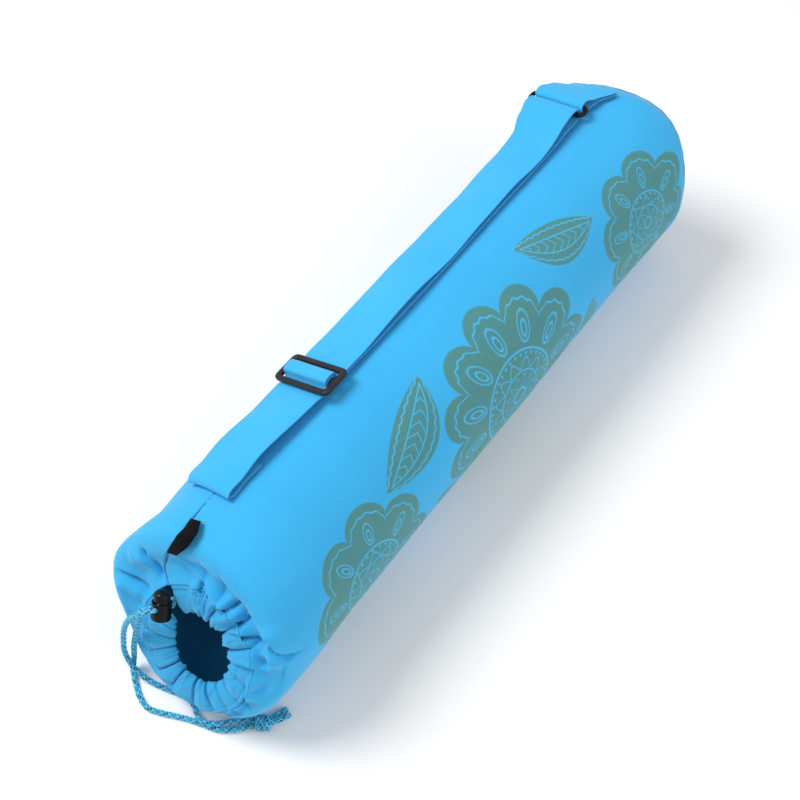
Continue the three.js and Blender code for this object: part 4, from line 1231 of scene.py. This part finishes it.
def make_band(name, node, path, materials, lift, thread):
    upper, lower, travel, across = band_rows(path, lift)
    count = 2 * STRAP_FINE
    rings = np.concatenate([upper, lower[:, ::-1]], axis=1)
    edge = np.concatenate([across, across[::-1], across[:1]])
    u, v = np.broadcast_arrays(edge[None, :], travel[:, None])
    uv = np.concatenate([grid_uv(u, v).reshape(-1, 2), np.zeros((2 * count, 2))])
    column = np.arange(count)
    # Painted shade: the faces round both edges of the band take the dark material, standing in for
    # the shadow gap beside the edge.
    shaded_edge = np.minimum((column - STRAP_FINE + 2) % count, (-column) % count) <= SHADED_EDGE_COLUMNS
    slots = np.concatenate([np.tile(shaded_edge, len(rings) - 1), [False, False]])
    faces = tube_faces(len(rings), count)
    piece = add_mesh(name, rings.reshape(-1, 3), faces, materials, uv=uv, slots=slots)
    declare(piece, node)
    hems = [int(np.argmin(np.abs(across - side * (STRAP_WIDTH / 2 - HEM_IN)))) for side in (-1, 1)]
    lines = [surface[:, hem] for hem in hems for surface in (upper, lower)]
    make_stitches(name + "_thread", lines, thread, "strap_cloth", *STRAP_STITCH)


def make_stitches(name, lines, material, slot, step, long, thick):
    """Short rounded threads along lines that already lie on the cloth."""
    meshes = []
    for line in lines:
        lengths = lengths_along(line)
        for at in np.arange(step / 2, path_length(line) - step / 2, step):
            points = values_at(at + np.linspace(-long / 2, long / 2, 4), lengths, line)
            meshes.append(tube_mesh(points, [thick * 0.55, thick, thick, thick * 0.55], 5))
    points, faces, _ = joined(meshes)
    declare(add_mesh(name, points, faces, [material]))


def strap_lift(x, h, across):
    """Slack of the strap: soft waves of its upper run, away from the slider."""
    loose = np.clip((h - LOWER_LAYER) / LAYER_STEP, 0, 1)
    off_slider = 1 - bell((x - SLIDER_AT) / 0.03)
    wave = 1 + np.sin(x * 46 + across * 60) + 0.5 * np.sin(x * 91 - across * 110 + 1)
    return STRAP_SLACK * loose * off_slider * wave


def tab_lift(x, h, across):
    return 0 * x * across


def frame_directions(x):
    """Directions of a fitting: along the bag, across it and away from it."""
    angle = math.radians(strap_line(x, 1)) + math.atan(float(strap_line(x, 2)) / STRAP_WIDTH)
    c, s = math.cos(angle), math.sin(angle)
    return np.array([(1.0, 0, 0), (0, c, s), (0, -s, c)])


def rounded_loop(depth, width, corner, count):
    """Points on the middle line of a rounded rectangle, depth along the bag, width across it."""
    points = []
    for x, y, start in ((1, 1, 0), (-1, 1, 90), (-1, -1, 180), (1, -1, 270)):
        for t in np.radians(start + np.linspace(0, 90, 9)):
            along = x * (depth / 2 - corner) + corner * math.cos(t)
            points.append((along, y * (width / 2 - corner) + corner * math.sin(t), 0.0))
    loop = np.array(points + points[:1])
    lengths = lengths_along(loop)
    return values_at(np.linspace(0, lengths[-1], count, endpoint=False), lengths, loop)


def moulded_section(half_width, half_height, power):
    turn = np.linspace(0, 2 * math.pi, SECTION_SIDES, endpoint=False)
    c, s = np.cos(turn), np.sin(turn)
    wide, high = (np.sign(part) * np.abs(part) ** power for part in (c, s))
    return half_width * wide, half_height * high


def loop_mesh(loop, halves, half_height, power):
    """A closed moulded bar along a flat loop. halves gives its half width at each point."""
    tangent = normalized(np.roll(loop, -1, axis=0) - np.roll(loop, 1, axis=0))
    outward = np.cross(tangent, [0, 0, 1.0])
    wide, high = moulded_section(1.0, half_height, power)
    rings = loop[:, None] + (halves[:, None] * wide[None])[:, :, None] * outward[:, None]
    rings = rings + high[None, :, None] * np.array([0, 0, 1.0])
    close = ring_strip((len(loop) - 1) * SECTION_SIDES, 0, SECTION_SIDES)[:, ::-1]
    faces = np.concatenate([grid_faces(len(loop), SECTION_SIDES), close])
    return rings.reshape(-1, 3), faces.tolist()


def bar_mesh(reach, half_width, half_height, power):
    """A straight moulded bar across the bag."""
    wide, high = moulded_section(half_width, half_height, power)
    section = np.stack([wide, np.zeros_like(wide), high], axis=1)
    places = np.linspace(-reach, reach, BAR_ROWS)[:, None, None] * np.array([0, 1.0, 0])
    return (places + section).reshape(-1, 3), tube_faces(BAR_ROWS, SECTION_SIDES)


def seat_fitting(name, node, meshes, x, height, material):
    points, faces, _ = joined(meshes)
    middle = over_bag(np.array(x), np.array(height), 0.0, 0.0)
    piece = add_mesh(name, middle + points @ frame_directions(x), faces, [material])
    declare(piece, node)


def make_slider(material):
    side = (SLIDER_WIDTH - STRAP_WIDTH - 0.002) / 2
    loop = rounded_loop(SLIDER_DEPTH - SLIDER_BAR, SLIDER_WIDTH - side, 0.0032, 220)
    across = np.abs(loop[:, 0]) / (SLIDER_DEPTH / 2 - SLIDER_BAR / 2)
    halves = np.where(across > 0.98, SLIDER_BAR / 2, side / 2)
    outline = loop_mesh(loop, halves, SLIDER_HEIGHT / 2, 0.55)
    bar = bar_mesh(SLIDER_WIDTH / 2 - side * 0.6, SLIDER_BAR / 2, SLIDER_HEIGHT / 2, 0.6)
    seat_fitting("slider_plastic", "slider", [outline, bar], SLIDER_AT, BAR_MIDDLE, material)


def make_ring(material):
    loop = rounded_loop(RING_DEPTH - RING_ROD, RING_WIDTH - RING_ROD, 0.0045, 200)
    rod = loop_mesh(loop, np.full(len(loop), RING_ROD / 2), RING_ROD / 2, 0.9)
    seat_fitting("ring_plastic", "ring", [rod], RING_AT, ROD_HEIGHT, material)


# Label: a blank woven loop in the side panel's seam

LABEL_THICKNESS = 0.0012
LABEL_LEAN = 14
LABEL_SHEAR = 0.55
LABEL_BOW = 0.0007
LABEL_ROWS = 40


def make_label(material):
    degrees = np.array(SEAM_LINE, float)
    own = np.arange(len(degrees))
    seams = [skin_rows(degrees + turn)[own, own] for turn in (-1.0, 0.0, 1.0)]
    fine = spline_rows(np.stack(seams, axis=1), np.linspace(5, len(degrees) - 1, 600))
    seam, beside = fine[:, 1], fine[:, 2] - fine[:, 0]
    along = normalized(np.gradient(seam, axis=0))
    normal = normalized(np.cross(along, normalized(beside)))
    normal = normal * np.sign((normal * (seam - [0, 0, AXIS_HEIGHT])).sum(1, keepdims=True))
    lengths = lengths_along(seam)
    start = np.interp(-LABEL_START, -seam[:, 0], lengths)
    at = start + np.linspace(-0.001, LABEL_LENGTH, LABEL_ROWS)
    point = values_at(at, lengths, seam)
    run, lift = (normalized(values_at(at, lengths, way).mean(axis=0)) for way in (along, normal))
    sideways = normalized(np.cross(run, lift))
    sideways = sideways * (-1 if sideways[1] > 0 else 1)
    lean = math.radians(LABEL_LEAN)
    reach = sideways * math.cos(lean) + lift * math.sin(lean) - run * LABEL_SHEAR
    face = lift * math.cos(lean) - sideways * math.sin(lean)
    across, share = np.linspace(0, 1, 14), np.linspace(0, 1, LABEL_ROWS)[:, None]
    bow = LABEL_BOW * np.sin(np.pi * across) * np.sin(np.pi * share * 1.3)
    leaf_height = LABEL_HEIGHT * (1.05 + 0.55 * np.sin(np.pi * share) ** 1.2)
    half = LABEL_THICKNESS / 2 * np.sqrt(np.clip(1 - (2 * across - 1) ** 16, 0, 1))
    middle = 3 * FIT_GAP + LABEL_THICKNESS / 2 + bow
    upper, lower = (
        point[:, None] + (across * leaf_height)[:, :, None] * reach + level[:, :, None] * face
        for level in (middle + half, middle - half)
    )
    rings = np.concatenate([upper, lower[:, ::-1]], axis=1)
    count = rings.shape[1]
    edge = np.concatenate([across, across[::-1], across[:1]]) * LABEL_HEIGHT
    u, v = np.broadcast_arrays(edge[None, :], (at - start)[:, None])
    uv = np.concatenate([grid_uv(u, v).reshape(-1, 2), np.zeros((2 * count, 2))])
    faces = tube_faces(LABEL_ROWS, count)
    piece = add_mesh("label_cloth", rings.reshape(-1, 3), faces, [material], uv=uv)
    declare(piece, "label")


# Cord lock: a slotted barrel and its press button

LOCK_MIDDLE = face_point(np.array(-0.0239), np.array(0.014), np.array(0.0225))
LOCK_SWING = math.radians(20)
LOCK_LEAN = math.radians(17)
LOCK_DIAMETER = 0.016
LOCK_BARREL = 0.015
LOCK_WALL = 0.0011
LOCK_FLOOR = 0.002
LOCK_SLOT_AT = 0.010
BUTTON_RISE = 0.0095
BUTTON_DOME = 0.42 * BUTTON_RISE
BUTTON_CHAMFER = 0.0003
BUTTON_TRAVEL = 0.0035
BARREL_ROUNDS = (0.0012, 0.0004, 0.0003, 0.0002)
SLIDE_GAP = 0.00025
CORD_SPACING = 0.0045
CORD_CLEARANCE = 0.0006
LOCK_SIDES = 72
SHARP_ANGLE = math.radians(38)


def lock_matrix():
    slot = FACE_OUT * math.cos(LOCK_SWING) - FACE_SIDE * math.sin(LOCK_SWING)
    level = FACE_SIDE * math.cos(LOCK_SWING) + FACE_OUT * math.sin(LOCK_SWING)
    barrel = FACE_UP * math.cos(LOCK_LEAN) - level * math.sin(LOCK_LEAN)
    matrix = np.eye(4)
    matrix[:3] = np.stack([slot, np.cross(barrel, slot), barrel, LOCK_MIDDLE], axis=1)
    return Matrix(matrix.tolist())


def lathe(name, profile, material):
    """A turned body from [radius, height] points, both ends on the axis."""
    turn = np.linspace(0, 2 * math.pi, LOCK_SIDES, endpoint=False)
    rings = [[(r * math.cos(t), r * math.sin(t), z) for t in turn] for r, z in profile[1:-1]]
    tips = [(0, 0, profile[0][1]), (0, 0, profile[-1][1])]
    points = np.concatenate([np.array(rings).reshape(-1, 3), tips])
    faces = grid_faces(len(rings), LOCK_SIDES).tolist()
    last = (len(rings) - 1) * LOCK_SIDES
    for j in range(LOCK_SIDES):
        k = (j + 1) % LOCK_SIDES
        faces += [(k, j, len(points) - 2), (last + j, last + k, len(points) - 1)]
    return add_mesh(name, points, faces, [material])


def rounded_profile(corners, radius, steps=5):
    """The corners of a profile, each one inside the ends rounded by its own radius."""
    points = [corners[0]]
    for before, corner, after, r in zip(corners, corners[1:], corners[2:], radius):
        a, b, c = (np.array(p, float) for p in (before, corner, after))
        first, second = (b + normalized(p - b) * r for p in (a, c))
        for t in np.linspace(0, 1, steps):
            q = (1 - t) ** 2 * first + 2 * t * (1 - t) * b + t**2 * second
            points.append((float(q[0]), float(q[1])))
    return [*points, corners[-1]]


def cut_window(piece, low, high):
    """Cut the cords' window through a lock piece along its X."""
    long, half = LOCK_DIAMETER, (CORD_SPACING + CORD_DIAMETER) / 2 + CORD_CLEARANCE
    corners = [(x, y, z) for x in (-long, long) for y in (-half, half) for z in (low, high)]
    sides = [(0, 1, 3, 2), (4, 6, 7, 5), (0, 4, 5, 1), (2, 3, 7, 6), (0, 2, 6, 4), (1, 5, 7, 3)]
    cutter = add_mesh("window", corners, sides, [], smooth=False)
    cut = piece.modifiers.new("window", "BOOLEAN")
    cut.object = cutter
    cut.operation = "DIFFERENCE"
    cut.solver = "EXACT"
    graph = bpy.context.evaluated_depsgraph_get()
    mesh = bpy.data.meshes.new_from_object(piece.evaluated_get(graph))
    piece.modifiers.clear()
    piece.data = mesh
    bpy.data.objects.remove(cutter)
    mesh.polygons.foreach_set("use_smooth", [True] * len(mesh.polygons))
    mesh.set_sharp_from_angle(angle=SHARP_ANGLE)


def make_lock(barrel_material, button_material):
    radius = LOCK_DIAMETER / 2
    bore = radius - LOCK_WALL
    under, rim = -LOCK_SLOT_AT, LOCK_BARREL - LOCK_SLOT_AT
    floor = under + LOCK_FLOOR
    half = CORD_DIAMETER / 2 + CORD_CLEARANCE
    corners = [(0, under), (radius, under), (radius, rim), (bore, rim), (bore, floor), (0, floor)]
    profile = rounded_profile(corners, BARREL_ROUNDS)
    barrel = lathe("lock_barrel", profile, barrel_material)
    cut_window(barrel, -half, half)
    stem = bore - SLIDE_GAP
    foot = floor + BUTTON_TRAVEL + SLIDE_GAP
    top = rim + BUTTON_RISE
    chamfered = [(stem - BUTTON_CHAMFER, foot), (stem, foot + BUTTON_CHAMFER)]
    profile = [(0, foot), *chamfered, (stem, rim + 0.0012)]
    for t in np.radians(np.linspace(0, 88, 14)):
        profile.append((stem * math.cos(t), top - BUTTON_DOME * (1 - math.sin(t))))
    button = lathe("lock_press", [*profile, (0, top)], button_material)
    cut_window(button, -half, half + BUTTON_TRAVEL)
    for piece, node, body in (
        (barrel, "cord_lock_body", "root"), (button, "cord_lock_button", "lock_button"),
    ):
        piece.data.transform(lock_matrix())
        declare(piece, node, body)


# Braided drawcords and their knot

CORD_A_ROUTE = [
    (-0.2840, 0.0216, 0.1026), (-0.2866, 0.0220, 0.1002), (-0.2924, 0.0193, 0.1022),
    (-0.2965, 0.0209, 0.1048), (-0.3014, 0.0229, 0.1076),
    (-0.3054, 0.0246, 0.1101), (-0.3116, 0.0296, 0.1102), (-0.3168, 0.0390, 0.0980),
    (-0.3210, 0.0510, 0.0680), (-0.3246, 0.0548, 0.0440), (-0.3290, 0.0534, 0.0240),
    (-0.3312, 0.0470, 0.0132), (-0.3314, 0.0375, 0.0060), (-0.3304, 0.0280, 0.0026),
    (-0.3276, 0.0151, 0.0021), (-0.3242, 0.0024, 0.0021), (-0.3226, -0.0070, 0.0021),
    (-0.3246, -0.0150, 0.0023), (-0.3292, -0.0224, 0.0046), (-0.3304, -0.0316, 0.0069),
    (-0.3230, -0.0425, 0.0056), (-0.3124, -0.0526, 0.0044), (-0.3041, -0.0626, 0.0050),
]
CORD_B_ROUTE = [
    (-0.2919, 0.0324, 0.0873), (-0.2896, 0.0306, 0.0914), (-0.2872, 0.0264, 0.0958),
    (-0.2914, 0.0234, 0.1002), (-0.2959, 0.0249, 0.1029), (-0.3008, 0.0270, 0.1057),
    (-0.3048, 0.0287, 0.1082), (-0.3090, 0.0334, 0.1042),
    (-0.3126, 0.0396, 0.0840), (-0.3172, 0.0446, 0.0580), (-0.3216, 0.0482, 0.0340),
    (-0.3256, 0.0494, 0.0128), (-0.3323, 0.0464, 0.0029), (-0.3388, 0.0379, 0.0021),
    (-0.3457, 0.0265, 0.0021), (-0.3486, 0.0148, 0.0021), (-0.3461, 0.0060, 0.0021),
    (-0.3402, -0.0074, 0.0021), (-0.3350, -0.0200, 0.0021), (-0.3312, -0.0320, 0.0021),
    (-0.3270, -0.0445, 0.0021), (-0.3184, -0.0554, 0.0034), (-0.3083, -0.0650, 0.0050),
]
KNOT_MIDDLE = np.array([-0.3020, -0.0705, 0.0070])
KNOT_HEADING = -60
KNOT_SWELL = 4.9
KNOT_COIL_LENGTH = 4.6
# Turns of each cord in the knot, as (shift, lift, turns, first angle) in millimetres and radians.
KNOT_COILS = ((-2.0, 0.0, 1.35, 0.6), (2.2, 0.5, 1.1, 3.2))
KNOT_CORE = [(-9, 1.2, -1), (-4, 0.6, 0), (1, -0.4, 0.4), (5, 0.4, 0.4), (8, 1.5, 0.4)]
KNOT_TAILS = [
    [(3, 1, 1), (7, 2, 1), (12, 3.6, 0.6), (17, 8, -1.6), (20, 10, -3)],
    [(3, 2.4, -1.2), (7, 7, -2.2), (12.4, 11.6, -3.4), (17, 15, -3.9)],
]
BRAID_STRANDS = 4
BRAID_PITCH = 0.014
STRAND_RADIUS = 0.00062
CORE_RADIUS = 0.00112
STRAND_STEP = 0.0007
BRAID_REACH = CORD_DIAMETER / 2 - STRAND_RADIUS
BRAID_SLACK = 0.0003
WEAVE_TIGHT = 0.00012
WEAVE_SLACK = 0.00026
# The cords are squeezed within this distance of the lock, and full again after the fade.
SQUEEZED = 0.012
SQUEEZE_FADE = 0.004
PALE, MID, DARK_AND_GAP_SHADE = 0, 1, 2


def braid(path):
    """Strands that wind both ways round a path, over and under each other, and a dark core that
    paints the shade in the gaps between them.
    """
    length = path_length(path)
    count = max(8, int(length / STRAND_STEP))
    fine = curve_through(path, count)
    first, second = path_frames(fine)
    turns = 2 * math.pi * np.linspace(0, length, count) / BRAID_PITCH
    slack = np.clip((np.linalg.norm(fine - LOCK_MIDDLE, axis=1) - SQUEEZED) / SQUEEZE_FADE, 0, 1)
    meshes, shades = [], []
    for way in (1, -1):
        for k in range(BRAID_STRANDS):
            angle = (way * (turns + 2 * math.pi * k / BRAID_STRANDS))[:, None]
            weave = np.cos(BRAID_STRANDS * turns + math.pi * (k + (way < 0)))
            reach = BRAID_REACH + BRAID_SLACK * slack + (WEAVE_TIGHT + WEAVE_SLACK * slack) * weave
            points = fine + reach[:, None] * (np.cos(angle) * first + np.sin(angle) * second)
            points[:, 2] = np.maximum(points[:, 2], STRAND_RADIUS)
            meshes.append(tube_mesh(points, STRAND_RADIUS, 5))
            shades.append(DARK_AND_GAP_SHADE if way < 0 and k == 0 else MID if k % 2 == 0 else PALE)
    # The core's dark colour is painted shade in the gaps between the strands.
    return [*meshes, tube_mesh(fine, CORE_RADIUS, 8)], [*shades, DARK_AND_GAP_SHADE]


def make_braids(name, paths, materials):
    meshes, shades = [], []
    for path in paths:
        strands, looks = braid(path)
        meshes += strands
        shades += looks
    points, faces, slots = joined(meshes)
    return add_mesh(name, points, faces, materials, slots=np.array(shades)[slots])


def knot_paths():
    """Two turns of both cords round their own axis, drawn tight, with a tail each."""
    c, s = math.cos(math.radians(KNOT_HEADING)), math.sin(math.radians(KNOT_HEADING))
    axes = np.array([(c, s, 0), (-s, c, 0), (0, 0, 1)])
    coils = []
    for shift, lift, turns, first in KNOT_COILS:
        t = np.linspace(0, 1, 26)
        angle = 2 * math.pi * turns * t + first
        swell = KNOT_SWELL - 0.35 * np.abs(2 * t - 1)
        along = shift + KNOT_COIL_LENGTH * (t - 0.5)
        coils.append(np.stack([along, swell * np.cos(angle), swell * np.sin(angle) + lift], axis=1))
    return [KNOT_MIDDLE + np.array(path) / 1000 @ axes for path in (*coils, KNOT_CORE, *KNOT_TAILS)]


def make_cords(materials):
    knot = make_braids("knot_braid", knot_paths(), materials)
    declare(knot, "cord_knot")
    for name, route in (("cord_a", CORD_A_ROUTE), ("cord_b", CORD_B_ROUTE)):
        path = curve_through(route, 240)
        piece = make_braids(name + "_braid", [path], materials)
        declare(piece, name)
        path_length(path)


# Floor and light

FLOOR_HALF = 6.0
# Lights as (name, place, aim, size, power).
LIGHTS = [
    ("key", (-0.55, 1.45, 2.1), (0.0, 0.0, 0.05), 1.3, 53),
    ("fill", (0.0, -1.75, 1.2), (-0.05, 0.0, 0.05), 1.6, 16),
]
WORLD_STRENGTH = 0.55


def make_floor():
    material = speckled_material("floor_white", FLOOR_WHITE, 3.0, 0.985, Roughness=0.75)
    points = [(x * FLOOR_HALF, y * FLOOR_HALF, 0) for x, y in ((-1, -1), (1, -1), (1, 1), (-1, 1))]
    floor = add_mesh("floor", points, [(0, 1, 2, 3)], [material], smooth=False)
    floor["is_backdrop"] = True


def make_light(name, place, aim, size, power):
    data = bpy.data.lights.new(name, "AREA")
    data.shape = "DISK"
    data.size = size
    data.energy = power
    place_object(name, data, place, aim)


def make_world():
    world = bpy.data.worlds.new("studio")
    world.use_nodes = True
    back = world.node_tree.nodes["Background"]
    back.inputs["Color"].default_value = (1, 1, 1, 1)
    back.inputs["Strength"].default_value = WORLD_STRENGTH
    scene.world = world


# Everything in its place

bag_printed = cloth_material("bag_printed_cloth", printed=True)
bag_plain = cloth_material("bag_plain_cloth", tint=0.92)
strap_plain = cloth_material("strap_plain_cloth", step=STRAP_WEAVE_STEP, tint=1.03)
cord_pale = cord_material("cord_pale_thread", CORD_LIGHT, 0.3)
cord_dark_and_gap_shade = cord_material("cord_dark_thread_and_gap_shade", CORD_DARK_AND_GAP_SHADE, 0.2)
cord_mid = cord_material("cord_mid_thread", CORD_MID, 0.3)
plastic = plastic_material("moulded_black", 0.25, PLASTIC_BLACK)
plastic_fine = plastic_material("moulded_black_fine", 0.12, PLASTIC_BLACK)
plastic_grey = plastic_material("moulded_grey", 0.25, PLASTIC_GREY)
label_cloth = label_material("label_satin")
thread = thread_material("sewing_thread", THREAD_BLUE)
# Painted shade for the seam's groove and the strap's edges, made with the thread material's look.
painted_shade = thread_material("painted_shade", PAINTED_SHADE_BLUE)
webbing = [strap_plain, painted_shade]

make_cords([cord_pale, cord_mid, cord_dark_and_gap_shade])
make_skin(bag_printed, bag_plain, painted_shade)
make_end_panel(bag_plain)
make_casing(bag_plain, thread)
make_band("strap_webbing", "shoulder_strap", strap_path(), webbing, strap_lift, thread)
make_band("tab_webbing", "strap_tab", tab_path(), webbing, tab_lift, thread)
make_slider(plastic_grey)
make_ring(plastic)
make_label(label_cloth)
make_lock(plastic, plastic_fine)
make_floor()
make_world()
for light in LIGHTS:
    make_light(*light)
scene.view_settings.view_transform = "Standard"
scene.view_settings.look = "None"

boxes = {"cad": cad_box, "scene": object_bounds()}
plain = {k: [[float(x) for x in corner] for corner in box] for k, box in boxes.items()}
